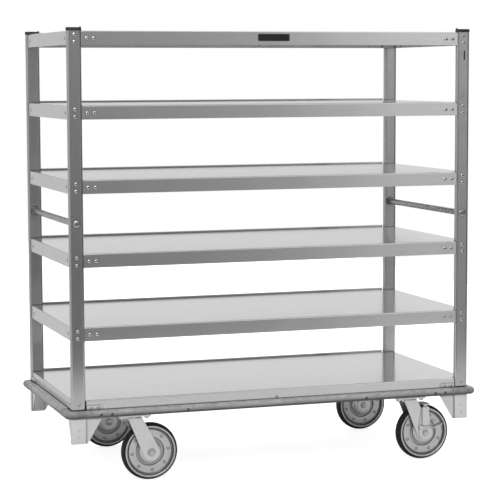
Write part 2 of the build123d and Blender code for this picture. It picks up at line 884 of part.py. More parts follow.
def fork():
    """Crown with two slanted legs, pressed from one plate, and its race ring."""
    top_low = leg_top_shift - leg_top_width / 2
    top_high = leg_top_shift + leg_top_width / 2
    with BuildPart() as body:
        with BuildSketch(Plane.XY.offset(crown_foot)):
            Circle(crown_radius)
            with Locations((leg_top_shift, 0)):
                Rectangle(leg_top_width, 2 * leg_outside)
        extrude(amount=crown_thickness)
        for start in (leg_inside, -leg_outside):
            with BuildSketch(Plane.XZ.offset(start)):
                with BuildLine():
                    Polyline(
                        (top_low, crown_foot),
                        (top_high, crown_foot),
                        (top_high, crown_top),
                        (top_low, crown_top),
                        close=True,
                    )
                make_face()
                with Locations((caster_trail, wheel_radius)):
                    Circle(leg_end_radius)
                make_hull()
            extrude(amount=leg_plate)
        bends = body.edges().filter_by(Axis.X).filter_by_position(
            Axis.Z, crown_top - swivel_gap, crown_top + swivel_gap
        )
        fillet(bends, fork_bend)
        with BuildSketch(Plane.XY.offset(crown_top)):
            Circle(race_outer_radius)
            Circle(race_inner_radius, mode=Mode.SUBTRACT)
        extrude(amount=race_height)
        with BuildSketch(Plane.XY.offset(crown_foot)):
            Circle(kingpin_radius + running_clearance)
        extrude(amount=crown_thickness, mode=Mode.SUBTRACT)
        axle_spot = [(caster_trail, wheel_radius)]
        drill_along_y(axle_spot, axle_radius + axle_clearance, (-half_width, half_width))
    return body.part


def wheel():
    """Pressed-steel wheel: hub, two dished discs riveted together, and a rim."""
    half_hub = hub_length / 2
    side = [
        (sleeve_radius + running_clearance, half_hub),
        (hub_radius, half_hub),
        (cone_radius, disc_width / 2 + (half_hub - disc_width / 2) * hub_cone_share),
        (recess_inner_radius, disc_width / 2),
        (recess_inner_radius, recess_width / 2),
        (recess_outer_radius, recess_width / 2),
        (recess_outer_radius, disc_width / 2),
        (groove_radius, disc_width / 2),
        (groove_radius, groove_width / 2),
        (rim_inner_radius, groove_width / 2),
        (rim_inner_radius, rim_width / 2),
        (rim_lip_radius, rim_width / 2),
        (rim_lip_radius, tyre_seat_width / 2),
        (tyre_seat_radius, tyre_seat_width / 2),
    ]
    other_side = [(radius, -across) for radius, across in reversed(side)]
    with BuildPart() as body:
        with BuildSketch(Plane.XY):
            with BuildLine():
                Polyline(*side, *other_side, close=True)
            make_face()
        revolve(axis=Axis.Y)
        with BuildSketch(Plane.XZ.offset(-disc_width / 2 - wheel_rivet_height)):
            with PolarLocations(wheel_rivet_circle / 2, wheel_rivet_count):
                Circle(wheel_rivet_radius)
        extrude(amount=disc_width + 2 * wheel_rivet_height)
    return body.part.moved(Location((caster_trail, 0, wheel_radius)))


def tyre():
    """Solid rubber tyre with a rounded tread, seated between the rim lips."""
    seat_half = tyre_seat_width / 2
    half = tyre_width / 2
    with BuildPart() as body:
        with BuildSketch(Plane.XY):
            with BuildLine():
                Polyline(
                    (tyre_shoulder, -half),
                    (rim_lip_radius, -half),
                    (rim_lip_radius, -seat_half),
                    (tyre_seat_radius, -seat_half),
                    (tyre_seat_radius, seat_half),
                    (rim_lip_radius, seat_half),
                    (rim_lip_radius, half),
                    (tyre_shoulder, half),
                )
                ThreePointArc((tyre_shoulder, half), (wheel_radius, 0), (tyre_shoulder, -half))
            make_face()
        revolve(axis=Axis.Y)
    return body.part.moved(Location((caster_trail, 0, wheel_radius)))


def washer(outer_radius, inner_radius, start, thickness):
    """Ring on the wheel axis, from one place along Y to another."""
    with BuildPart() as ring:
        with BuildSketch(Plane.XZ.offset(-start)):
            with Locations((caster_trail, wheel_radius)):
                Circle(outer_radius)
                Circle(inner_radius, mode=Mode.SUBTRACT)
        extrude(amount=-thickness)
    return ring.part


def axle(braked):
    """Bolt, nut, bearing sleeve and washers of one wheel."""
    thrust = leg_inside - hub_length / 2 - swivel_gap
    shank_end = axle_seat + axle_nut_height + axle_tip
    with BuildPart() as bolt:
        with BuildSketch(Plane.XZ.offset(axle_seat)):
            with Locations((caster_trail, wheel_radius)):
                RegularPolygon(axle_head_width / 2, side_count=6, major_radius=False)
        extrude(amount=axle_head_height)
        with BuildSketch(Plane.XZ.offset(axle_seat)):
            with Locations((caster_trail, wheel_radius)):
                Circle(axle_radius)
        extrude(amount=-axle_seat - shank_end)
    with BuildPart() as nut:
        with BuildSketch(Plane.XZ.offset(-axle_seat)):
            with Locations((caster_trail, wheel_radius)):
                RegularPolygon(axle_head_width / 2, side_count=6, major_radius=False)
                Circle(axle_radius, mode=Mode.SUBTRACT)
        extrude(amount=-axle_nut_height)
    pieces = [
        bolt.part,
        nut.part,
        washer(sleeve_radius, axle_radius, -leg_inside, fork_gap),
        washer(thrust_washer_radius, sleeve_radius, -leg_inside, thrust),
        washer(thrust_washer_radius, sleeve_radius, leg_inside - thrust, thrust),
        washer(side_washer_radius, axle_radius, leg_outside, brake_sheet),
    ]
    if not braked:
        pieces.append(washer(side_washer_radius, axle_radius, -axle_seat, brake_sheet))
    return Compound(children=pieces)


# Brake parts, on the front side of the fork
def brake_bracket():
    """Plate round the axle, upright channel, and the pin that the pedal turns on."""
    bar_low = brake_bar_x - brake_bar_width / 2
    bar_high = brake_bar_x + brake_bar_width / 2
    channel_face = axle_seat + brake_bar_depth
    pin_length = pedal_gap * 2 + pedal_thickness
    with BuildPart() as bracket:
        with BuildSketch(Plane.XZ.offset(leg_outside)):
            with Locations((caster_trail, wheel_radius)):
                Circle(brake_hub_radius)
            with Locations((pedal_pivot_x, pedal_pivot_z)):
                Circle(pedal_boss_radius)
            with Locations((brake_bar_x, (brake_bar_bottom + brake_bar_top) / 2)):
                Rectangle(brake_bar_width, brake_bar_top - brake_bar_bottom)
            make_hull()
        extrude(amount=brake_sheet)
        block((bar_low, bar_high), (-axle_seat, -channel_face), (brake_bar_bottom, brake_bar_top))
        block(
            (bar_low + brake_bar_wall, bar_high - brake_bar_wall),
            (-axle_seat, -channel_face + brake_bar_wall),
            (brake_bar_bottom, brake_bar_top),
            Mode.SUBTRACT,
        )
        fillet(
            bracket.edges().filter_by(Axis.Z).group_by(Axis.Y)[0],
            brake_bar_wall,
        )
        with BuildSketch(Plane.XZ.offset(axle_seat)):
            with Locations((pedal_pivot_x, pedal_pivot_z)):
                Circle(pedal_pin_radius)
        extrude(amount=pin_length)
        with BuildSketch(Plane.XZ.offset(axle_seat + pin_length)):
            with Locations((pedal_pivot_x, pedal_pivot_z)):
                Circle(pedal_pin_head)
        extrude(amount=pedal_pin_head_height)
        axle_spot = [(caster_trail, wheel_radius)]
        drill_along_y(axle_spot, axle_radius + axle_clearance, (-half_width, half_width))
    return bracket.part


def brake_pedal():
    """Bent lever with a tread at its toe."""
    low_face = axle_seat + pedal_gap
    tread_start = Vector(pedal_knee_x, 0, pedal_pivot_z)
    toe = Vector(pedal_toe_x, 0, pedal_toe_z)
    slope = Plane(
        origin=(tread_start + toe) / 2 + Vector(0, -low_face - tread_width / 2, 0),
        x_dir=toe - tread_start,
        z_dir=Vector(0, 1, 0).cross(toe - tread_start),
    )
    with BuildPart() as pedal:
        with BuildSketch(Plane.XZ.offset(low_face)):
            with BuildLine():
                Polyline(
                    (pedal_pivot_x, pedal_pivot_z),
                    (pedal_knee_x, pedal_pivot_z),
                    (pedal_toe_x, pedal_toe_z),
                )
            trace(line_width=pedal_height)
            with Locations((pedal_pivot_x, pedal_pivot_z)):
                Circle(pedal_boss_radius - pedal_gap)
                Circle(pedal_pin_radius + running_clearance, mode=Mode.SUBTRACT)
        extrude(amount=pedal_thickness)
        with BuildSketch(slope):
            RectangleRounded((toe - tread_start).length, tread_width, tread_thickness / 2)
        extrude(amount=tread_thickness / 2, both=True)
    return pedal.part


def brake_shoe():
    """Curved pad over the tyre, bridged to the push rod in the channel."""
    inner = wheel_radius + shoe_gap
    outer = inner + shoe_thickness
    bridge_foot = wheel_radius + outer - shoe_thickness + shoe_bridge_rise
    bridge_top = bridge_foot + shoe_thickness
    rod_inside = axle_seat + push_rod_gap
    rod_outside = rod_inside + push_rod_thickness
    rod_foot = pedal_pivot_z + pedal_height / 2 + push_rod_foot_gap
    edge = radians(shoe_half_angle)

    def on_arc(radius, angle):
        return (caster_trail + radius * sin(angle), wheel_radius + radius * cos(angle))

    with BuildPart() as shoe:
        with BuildSketch(Plane.XZ.offset(-shoe_width / 2)):
            with BuildLine():
                ThreePointArc(on_arc(inner, -edge), on_arc(inner, 0), on_arc(inner, edge))
                Line(on_arc(inner, edge), on_arc(outer, edge))
                ThreePointArc(on_arc(outer, edge), on_arc(outer, 0), on_arc(outer, -edge))
                Line(on_arc(outer, -edge), on_arc(inner, -edge))
            make_face()
        extrude(amount=shoe_width)
        block(
            (brake_bar_x - shoe_bridge_width / 2, brake_bar_x + shoe_bridge_width / 2),
            (0, -rod_outside),
            (bridge_foot, bridge_top),
        )
        block(
            (brake_bar_x - push_rod_width / 2, brake_bar_x + push_rod_width / 2),
            (-rod_inside, -rod_outside),
            (rod_foot, bridge_top),
        )
    return shoe.part


def make_frame():
    """Posts, caps, shelves and what holds them together."""
    for name, (side_x, side_y) in corners.items():
        write(corner_post(side_x, side_y), f"{name}_post")
        write(post_cap(side_x, side_y), f"{name}_post_cap")
        write(corner_leg(side_x, side_y), f"{name}_corner_leg")
    write(shelf_pan(0), "bottom_deck")
    for level in range(1, shelf_count + 1):
        write(shelf_pan(level), f"shelf_{level}")
    brackets = [
        corner_bracket(side_x, side_y, level)
        for side_x, side_y in corners.values()
        for level in range(shelf_count + 1)
    ]
    write(Compound(children=brackets), "corner_brackets")
    write(shelf_rivets(), "shelf_rivets")
    write(leg_studs(), "leg_studs")
    write(nameplate(), "nameplate")


def make_bumpers():
    """Four rails, the corner sleeves and their screws."""
    write(bumper_rail(0, -1), "front_bumper_rail")
    write(bumper_rail(0, 1), "back_bumper_rail")
    write(bumper_rail(-1, 0), "left_bumper_rail")
    write(bumper_rail(1, 0), "right_bumper_rail")
    write(corner_sleeves(), "bumper_corner_sleeves")
    write(bumper_screws(), "bumper_screws")


def make_handles():
    """One rod at each end, and the four screws."""
    write(handle_rod(-1), "left_handle_rod")
    write(handle_rod(1), "right_handle_rod")
    write(handle_screws(), "handle_screws")


def make_casters():
    """Four swivel casters on two rails, with brakes on the right-hand pair."""
    write(caster_rail(-1), "left_caster_rail")
    write(caster_rail(1), "right_caster_rail")
    write(caster_bolts(), "caster_bolts")
    for name, (side_x, side_y) in corners.items():
        x = side_x * caster_x
        y = side_y * caster_y
        braked = side_x > 0
        write_at(top_plate(), f"{name}_caster_plate", x, y)
        write_at(fork(), f"{name}_caster_fork", x, y)
        write_at(axle(braked), f"{name}_axle", x, y)
        write_at(wheel(), f"{name}_wheel", x, y)
        write_at(tyre(), f"{name}_tyre", x, y)
        if braked:
            write_at(brake_bracket(), f"{name}_brake_bracket", x, y)
            write_at(brake_pedal(), f"{name}_brake_pedal", x, y)
            write_at(brake_shoe(), f"{name}_brake_shoe", x, y)


os.makedirs("parts", exist_ok=True)
make_frame()
make_bumpers()
make_handles()
make_casters()
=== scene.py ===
import math
import bmesh
import bpy
from mathutils import Matrix, Vector


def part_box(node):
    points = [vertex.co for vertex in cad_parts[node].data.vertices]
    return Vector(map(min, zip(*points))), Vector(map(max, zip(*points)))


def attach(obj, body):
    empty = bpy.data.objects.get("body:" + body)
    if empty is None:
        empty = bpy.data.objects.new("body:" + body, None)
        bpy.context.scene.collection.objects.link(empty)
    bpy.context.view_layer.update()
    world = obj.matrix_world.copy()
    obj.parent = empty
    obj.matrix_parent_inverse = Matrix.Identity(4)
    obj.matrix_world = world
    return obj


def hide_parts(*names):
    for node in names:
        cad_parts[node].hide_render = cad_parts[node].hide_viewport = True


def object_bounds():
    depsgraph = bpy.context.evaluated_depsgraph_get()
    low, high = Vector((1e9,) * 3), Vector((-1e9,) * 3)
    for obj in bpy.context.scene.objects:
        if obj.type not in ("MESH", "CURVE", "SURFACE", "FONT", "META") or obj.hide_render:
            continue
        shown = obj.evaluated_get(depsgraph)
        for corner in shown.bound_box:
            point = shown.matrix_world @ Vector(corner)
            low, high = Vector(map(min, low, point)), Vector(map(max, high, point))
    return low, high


# Banquet shelf trolley: finishes, detailed pieces, studio and camera
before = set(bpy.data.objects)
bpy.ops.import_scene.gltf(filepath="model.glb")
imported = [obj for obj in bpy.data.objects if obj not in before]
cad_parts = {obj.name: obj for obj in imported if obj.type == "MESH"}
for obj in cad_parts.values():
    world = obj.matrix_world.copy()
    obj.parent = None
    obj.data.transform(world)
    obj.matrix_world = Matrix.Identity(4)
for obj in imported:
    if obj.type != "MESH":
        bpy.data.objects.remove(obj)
cadLow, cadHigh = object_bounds()
scene = bpy.context.scene
mm = 0.001
corners = {
    "front_left": (-1, -1),
    "front_right": (1, -1),
    "back_left": (-1, 1),
    "back_right": (1, 1),
}
print("frame loaded:", len(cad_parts), "nodes")


# Camera at the photograph's angle
photoCamera = {
    "spot": (-2.1509, -6.4241, 1.4198),
    "turnDeg": -18.659,  # to the right of straight ahead
    "downDeg": 5.483,
    "rollDeg": -0.205,
    "lens": 131.37,
    "sensor": 36.0,
    "clipEnd": 100.0,
}


def makeCamera(look):
    data = bpy.data.cameras.new("photo_camera")
    data.lens = look["lens"]
    data.sensor_width = look["sensor"]
    data.clip_end = look["clipEnd"]
    holder = bpy.data.objects.new("photo_camera", data)
    scene.collection.objects.link(holder)
    turn = Matrix.Rotation(math.radians(look["turnDeg"]), 4, "Z")
    tilt = Matrix.Rotation(math.radians(90 - look["downDeg"]), 4, "X")
    roll = Matrix.Rotation(math.radians(look["rollDeg"]), 4, "Z")
    holder.matrix_world = Matrix.Translation(look["spot"]) @ turn @ tilt @ roll
    scene.camera = holder


makeCamera(photoCamera)
scene.view_settings.view_transform = "Standard"
print("camera set")


# Node helpers
def addNode(tree, kind, inputs=None, **settings):
    node = tree.nodes.new("ShaderNode" + kind)
    for name, value in settings.items():
        setattr(node, name, value)
    for name, value in (inputs or {}).items():
        plug(tree, node.inputs[name], value)
    return node


def plug(tree, socket, value):
    if isinstance(value, bpy.types.NodeSocket):
        tree.links.new(value, socket)
    else:
        socket.default_value = value


def mathNode(tree, operation, first, second=0.0, third=0.0):
    inputs = {0: first, 1: second, 2: third}
    return addNode(tree, "Math", inputs, operation=operation).outputs[0]


def vectorNode(tree, operation, first, second=(0.0, 0.0, 0.0)):
    node = addNode(tree, "VectorMath", {0: first, 1: second}, operation=operation)
    return node.outputs["Value" if operation in ("DOT_PRODUCT", "LENGTH") else "Vector"]


def rangeNode(tree, value, fromLow, fromHigh, toLow=0.0, toHigh=1.0):
    inputs = {"Value": value, "From Min": fromLow, "From Max": fromHigh, "To Min": toLow, "To Max": toHigh}
    return addNode(tree, "MapRange", inputs).outputs[0]


def noiseNode(tree, vector, scale, detail=2.0, roughness=0.5, distortion=0.0):
    inputs = {
        "Vector": vector,
        "Scale": scale,
        "Detail": detail,
        "Roughness": roughness,
        "Distortion": distortion,
    }
    return addNode(tree, "TexNoise", inputs).outputs[0]


def mixColour(tree, factor, first, second):
    node = addNode(tree, "Mix", data_type="RGBA")
    for index, value in ((0, factor), (6, first), (7, second)):
        plug(tree, node.inputs[index], value)
    return node.outputs[2]


def layered(tree, colour, layers):
    for mask, amount, over in layers:
        colour = mixColour(tree, mathNode(tree, "MULTIPLY", mask, amount), colour, over)
    return colour


def grey(level):
    return (level, level, level, 1.0)


def scaled(colour, factor):
    return tuple(min(part * factor, 1.0) for part in colour) + (1.0,)


def newGroup(name, inputs, outputs):
    group = bpy.data.node_groups.new(name, "ShaderNodeTree")
    for label, value in inputs.items():
        kind = "NodeSocketVector" if isinstance(value, tuple) else "NodeSocketFloat"
        socket = group.interface.new_socket(label, in_out="INPUT", socket_type=kind)
        socket.default_value = value
    for label, kind in outputs.items():
        group.interface.new_socket(label, in_out="OUTPUT", socket_type="NodeSocket" + kind)
    entry = group.nodes.new("NodeGroupInput")
    leave = group.nodes.new("NodeGroupOutput")
    place = addNode(group, "TexCoord").outputs["Object"]
    return group, entry.outputs, leave.inputs, place


def placeGroup(tree, group, **look):
    node = addNode(tree, "Group", node_tree=group)
    for label, value in look.items():
        plug(tree, node.inputs[label], value)
    return node.outputs


# Studio: pale floor, white surroundings, and a darker stretch to the right of the camera
studio = {
    "ambientLow": 0.45,
    "ambientHigh": 1.1,
    "overhead": 0.95,
    "sides": [  # degrees to the right of straight in front, level seen in the metal
        (-180, 0.8),
        (-174, 0.62),
        (-75, 0.56),
        (-30, 0.45),
        (0, 0.2),
        (12, 0.2),
        (15, 0.28),
        (18, 0.29),
        (21, 0.37),
        (23.5, 0.68),
        (26, 0.68),
        (28, 0.3),
        (34, 0.13),
        (88, 0.13),
        (112, 0.75),
        (180, 0.8),
    ],
    "lowFade": 0.8,  # share of that level seen below the horizon
    "highFade": 1.35,
    "horizon": (-0.1, 0.02),
    "frontFade": (-0.5, 0.0),
    "roofFade": (0.2, 0.8),
    "skyFade": (0.0, 1.0),
    "floorGrey": 0.7,
    "floorGlow": 0.8,
    "floorRough": 0.9,
    "floorShine": 0.1,
    "floorFront": -2.45,
    "floorBack": 9.0,
    "floorSide": 3.2,
    "keyPower": 45.0,
    "keySize": 1.6,
    "keySpot": (-1.0, -3.2, 3.0),
}


def makeWorld(look):
    world = bpy.data.worlds.new("studio")
    scene.world = world
    world.use_nodes = True
    tree = world.node_tree
    tree.nodes.clear()
    path = addNode(tree, "LightPath").outputs
    direction = addNode(tree, "TexCoord").outputs["Generated"]
    parts = addNode(tree, "SeparateXYZ", {0: direction}).outputs
    ahead = mathNode(tree, "MULTIPLY", parts["Y"], -1.0)
    bearing = mathNode(tree, "ARCTAN2", parts["X"], ahead)
    turn = rangeNode(tree, bearing, -math.pi, math.pi)
    ramp = addNode(tree, "ValToRGB", {0: turn})
    stops = ramp.color_ramp.elements
    while len(stops) < len(look["sides"]):
        stops.new(0.5)
    for stop, (degrees, level) in zip(stops, look["sides"]):
        stop.position = (degrees + 180) / 360
        stop.color = grey(level)
    fade = rangeNode(tree, parts["Z"], *look["horizon"], look["lowFade"], look["highFade"])
    ahead = rangeNode(tree, parts["Y"], *look["frontFade"], fade, 1.0)
    sides = mathNode(tree, "MULTIPLY", ramp.outputs[0], ahead)
    roof = rangeNode(tree, parts["Z"], *look["roofFade"], 0.0, look["overhead"])
    ambient = rangeNode(tree, parts["Z"], *look["skyFade"], look["ambientLow"], look["ambientHigh"])
    shade = mathNode(tree, "MAXIMUM", sides, roof)
    mirrored = mathNode(tree, "MAXIMUM", path["Is Glossy Ray"], path["Is Transmission Ray"])
    seen = addNode(tree, "Mix", {"Factor": mirrored, 2: ambient, 3: shade}).outputs[0]
    strength = addNode(tree, "Mix", {"Factor": path["Is Camera Ray"], 2: seen, 3: 1.0}).outputs[0]
    background = addNode(tree, "Background", {"Color": grey(1.0), "Strength": strength})
    leave = addNode(tree, "OutputWorld")
    tree.links.new(background.outputs[0], leave.inputs[0])


def makeFloor(look):
    side, front, back = look["floorSide"], look["floorFront"], look["floorBack"]
    mesh = bpy.data.meshes.new("studio_floor")
    spots = [(-side, front, 0), (side, front, 0), (side, back, 0), (-side, back, 0)]
    mesh.from_pydata(spots, [], [(0, 1, 2, 3)])
    floor = bpy.data.objects.new("studio_floor", mesh)
    scene.collection.objects.link(floor)
    material, tree, shader = newMaterial("floor_paper")
    path = addNode(tree, "LightPath").outputs
    looks = {
        "Base Color": grey(look["floorGrey"]),
        "Roughness": look["floorRough"],
        "Specular IOR Level": look["floorShine"],
        "Emission Color": grey(1.0),
        "Emission Strength": mathNode(tree, "MULTIPLY", path["Is Camera Ray"], look["floorGlow"]),
    }
    for label, value in looks.items():
        plug(tree, shader.inputs[label], value)
    mesh.materials.append(material)


def makeLamp(look):
    lamp = bpy.data.lights.new("key_box", "AREA")
    lamp.size = look["keySize"]
    lamp.energy = look["keyPower"]
    holder = bpy.data.objects.new("key_box", lamp)
    scene.collection.objects.link(holder)
    holder.location = look["keySpot"]
    aim = (cadLow + cadHigh) / 2 - holder.location
    holder.rotation_euler = aim.to_track_quat("-Z", "Y").to_euler()


def newMaterial(name):
    material = bpy.data.materials.new(name)
    material.use_nodes = True
    return material, material.node_tree, material.node_tree.nodes["Principled BSDF"]


makeWorld(studio)
makeFloor(studio)
makeLamp(studio)
print("studio ready")


# Shared surface effects, as node groups
effectRanges = {  # where an effect starts and where it is full
    "noise": (0.3, 0.7),
    "smudges": (0.5, 0.72),
    "patches": (0.45, 0.6),
    "edge": (0.995, 0.9),
    "edgeBreakup": (0.35, 0.6),
    "drift": (0.4, 0.75),
    # painted underside shade, from faces turned a little up to faces turned down
    "shadedBelow": (0.1, -0.45),
    "cover": (0.2, 0.5),
}
effectValues = {
    "scratchLimits": (0.82, 0.6),  # for densities of 0 and 1
    "scratchSoft": 0.04,
    "scratchScale": (0.05, 1.0, 1.0),
    "scratchTurns": (((0.3, 0.5, 0.2), 0.0), ((-0.2, -0.9, 0.6), 3.0), ((0.9, 0.1, -0.4), 7.0)),
    "patchFineness": 14.0,
    # fineness of the noise that breaks up the painted crevice shade
    "grimeFineness": 180.0,
    "mottleFineness": 24.0,
    "leastCover": 0.7,
}


def spread(tree, value, name, low=0.0):
    return rangeNode(tree, value, *effectRanges[name], low)


def makeMetalGrain():
    inputs = {"Stretch": (1.0, 1.0, 1.0), "Fineness": 900.0, "Band Fineness": 60.0, "Cloud Fineness": 6.0}
    outputs = {"Lines": "Float", "Bands": "Float", "Clouds": "Float", "Waves": "Float"}
    group, entry, leave, place = newGroup("metalGrain", inputs, outputs)
    drawn = vectorNode(group, "MULTIPLY", place, entry["Stretch"])
    lines = noiseNode(group, drawn, entry["Fineness"], detail=3.0, roughness=0.6)
    bands = noiseNode(group, drawn, entry["Band Fineness"], detail=2.0, roughness=0.55)
    clouds = noiseNode(group, place, entry["Cloud Fineness"], detail=5.0, roughness=0.6, distortion=0.5)
    for label, value in (("Lines", lines), ("Bands", bands), ("Clouds", clouds)):
        plug(group, leave[label], spread(group, value, "noise"))
    plug(group, leave["Waves"], noiseNode(group, place, entry["Cloud Fineness"], detail=0.0))
    return group


def makeHandlingMarks(look):
    inputs = {"Smudge Fineness": 8.0, "Scratch Fineness": 260.0, "Scratch Density": 0.3}
    outputs = {"Smudges": "Float", "Scratches": "Float"}
    group, entry, leave, place = newGroup("handlingMarks", inputs, outputs)
    smudges = noiseNode(group, place, entry["Smudge Fineness"], detail=6.0, roughness=0.62, distortion=1.1)
    plug(group, leave["Smudges"], spread(group, smudges, "smudges"))
    limit = rangeNode(group, entry["Scratch Density"], 0.0, 1.0, *look["scratchLimits"])
    softer = mathNode(group, "ADD", limit, look["scratchSoft"])
    total = 0.0
    for turn, offset in look["scratchTurns"]:
        turned = addNode(group, "Mapping", {
            "Vector": place,
            "Location": (offset, offset, offset),
            "Rotation": turn,
            "Scale": look["scratchScale"],
        }).outputs[0]
        strokes = noiseNode(group, turned, entry["Scratch Fineness"], detail=1.0, roughness=0.4)
        total = mathNode(group, "MAXIMUM", rangeNode(group, strokes, limit, softer), total)
    patches = noiseNode(group, place, look["patchFineness"])
    kept = mathNode(group, "MULTIPLY", total, spread(group, patches, "patches"))
    plug(group, leave["Scratches"], kept)
    return group


def makeEdgeWear():
    inputs = {"Radius": 0.0008, "Breakup Fineness": 120.0}
    outputs = {"Mask": "Float", "Soft Normal": "Vector"}
    group, entry, leave, place = newGroup("edgeWear", inputs, outputs)
    rounded = addNode(group, "Bevel", {"Radius": entry["Radius"]}, samples=6).outputs[0]
    facing = addNode(group, "NewGeometry").outputs["Normal"]
    rim = spread(group, vectorNode(group, "DOT_PRODUCT", rounded, facing), "edge")
    breakup = noiseNode(group, place, entry["Breakup Fineness"], detail=4.0, roughness=0.6)
    mask = mathNode(group, "MULTIPLY", rim, spread(group, breakup, "edgeBreakup"))
    plug(group, leave["Mask"], mask)
    plug(group, leave["Soft Normal"], rounded)
    return group


# Mask: dust on upward faces, strong enough on the bumper to act as painted top light; Under: painted shade
# on faces that turn down
def makeDustAndPaintedShading(look):
    inputs = {"Fineness": 45.0, "Lowest": 0.5}
    group, entry, leave, place = newGroup("settledDust", inputs, {"Mask": "Float", "Underside Shade": "Float"})
    facing = addNode(group, "NewGeometry").outputs["Normal"]
    upward = addNode(group, "SeparateXYZ", {0: facing}).outputs["Z"]
    drift = noiseNode(group, place, entry["Fineness"], detail=5.0, roughness=0.65)
    settled = rangeNode(group, upward, entry["Lowest"], 1.0)
    mask = mathNode(group, "MULTIPLY", settled, spread(group, drift, "drift"))
    plug(group, leave["Mask"], mask)
    cover = spread(group, drift, "cover", look["leastCover"])
    under = mathNode(group, "MULTIPLY", spread(group, upward, "shadedBelow"), cover)
    plug(group, leave["Underside Shade"], under)
    return group


# Painted shade: colour darkened where ambient occlusion finds corners, seams and recesses, broken up by
# noise
def makeOcclusionShade(look):
    inputs = {"Reach": 0.005, "Open": 0.92, "Closed": 0.45}
    group, entry, leave, place = newGroup("occlusionShade", inputs, {"Mask": "Float"})
    shade = addNode(group, "AmbientOcclusion", {"Distance": entry["Reach"]}, samples=8)
    breakup = noiseNode(group, place, look["grimeFineness"], detail=3.0, roughness=0.6)
    closed = rangeNode(group, shade.outputs["AO"], entry["Open"], entry["Closed"])
    mask = mathNode(group, "MULTIPLY", closed, spread(group, breakup, "cover", look["leastCover"]))
    plug(group, leave["Mask"], mask)
    return group


def makePebble(look):
    inputs = {"Fineness": 900.0, "Stretch": (1.0, 1.0, 1.0)}
    group, entry, leave, place = newGroup("pebble", inputs, {"Height": "Float", "Mottle": "Float"})
    drawn = vectorNode(group, "MULTIPLY", place, entry["Stretch"])
    grains = noiseNode(group, drawn, entry["Fineness"], detail=3.0, roughness=0.6)
    mottle = noiseNode(group, drawn, look["mottleFineness"], detail=5.0, roughness=0.65, distortion=0.4)
    plug(group, leave["Height"], spread(group, grains, "noise"))
    plug(group, leave["Mottle"], spread(group, mottle, "noise"))
    return group


def makeTurnedRings():
    group, entry, leave, place = newGroup("turnedRings", {"Fineness": 900.0}, {"Rings": "Float"})
    flat = vectorNode(group, "MULTIPLY", place, (1.0, 0.0, 1.0))
    inputs = {"W": vectorNode(group, "LENGTH", flat), "Scale": entry["Fineness"], "Detail": 2.0}
    rings = addNode(group, "TexNoise", inputs, noise_dimensions="1D").outputs[0]
    plug(group, leave["Rings"], spread(group, rings, "noise"))
    return group


metalGrain = makeMetalGrain()
handlingMarks = makeHandlingMarks(effectValues)
edgeWear = makeEdgeWear()
settledDust = makeDustAndPaintedShading(effectValues)
occlusionShade = makeOcclusionShade(effectValues)
pebble = makePebble(effectValues)
turnedRings = makeTurnedRings()
print("surface effects made")


def joinShader(tree, shader, colour, rough, height, normal):
    bump = addNode(tree, "Bump", {"Height": height, "Normal": normal, "Distance": 1.0})
    for label, value in (("Base Color", colour), ("Roughness", rough), ("Normal", bump.outputs[0])):
        plug(tree, shader.inputs[label], value)


# Metals: rolled sheet, drawn tube, bar and plated pressings
grainStretch = {
    "x": (0.012, 1.0, 1.0),
    "z": (1.0, 1.0, 0.012),
    "y": (1.0, 0.012, 1.0),
    "none": (1.0, 1.0, 1.0),
    "turned": (1.0, 1.0, 1.0),
}
grainAxis = {"x": (1.0, 0.0, 0.0), "y": (0.0, 1.0, 0.0), "z": (0.0, 0.0, 1.0)}
grainCover = 0.5  # share of the lines and bands that shows, so their tone is doubled
grainNudge = 0.002  # keeps a direction where the surface faces along the grain
plainMetalValues = {
    "colour": (0.6, 0.6, 0.6),
    "roughness": 0.34,
    "grain": "none",
    "anisotropy": 0.0,
    "lineDepth": 0.00002,
    "lineTone": 0.06,
    "bandTone": 0.06,
    "cloudTone": 0.04,
    "waveDepth": 0.0,
    "smudge": 0.1,
    "smudgeTone": 0.75,
    "smudgeRough": 0.08,
    "scratch": 0.25,
    "scratchTone": 0.9,
    "lineRough": 0.06,
    "edge": 0.35,
    "edgeRadius": 0.0006,
    "dust": 0.06,
    "dustTone": 0.62,
    # painted shade in corners, seams and recesses: amount, reach, where it starts and where it is full,
    # tone
    "grime": 0.7,
    "grimeReach": 0.005,
    "grimeOpen": 0.92,
    "grimeClosed": 0.45,
    "grimeTone": 0.06,
    "fineness": 900.0,
}
finishes = {}


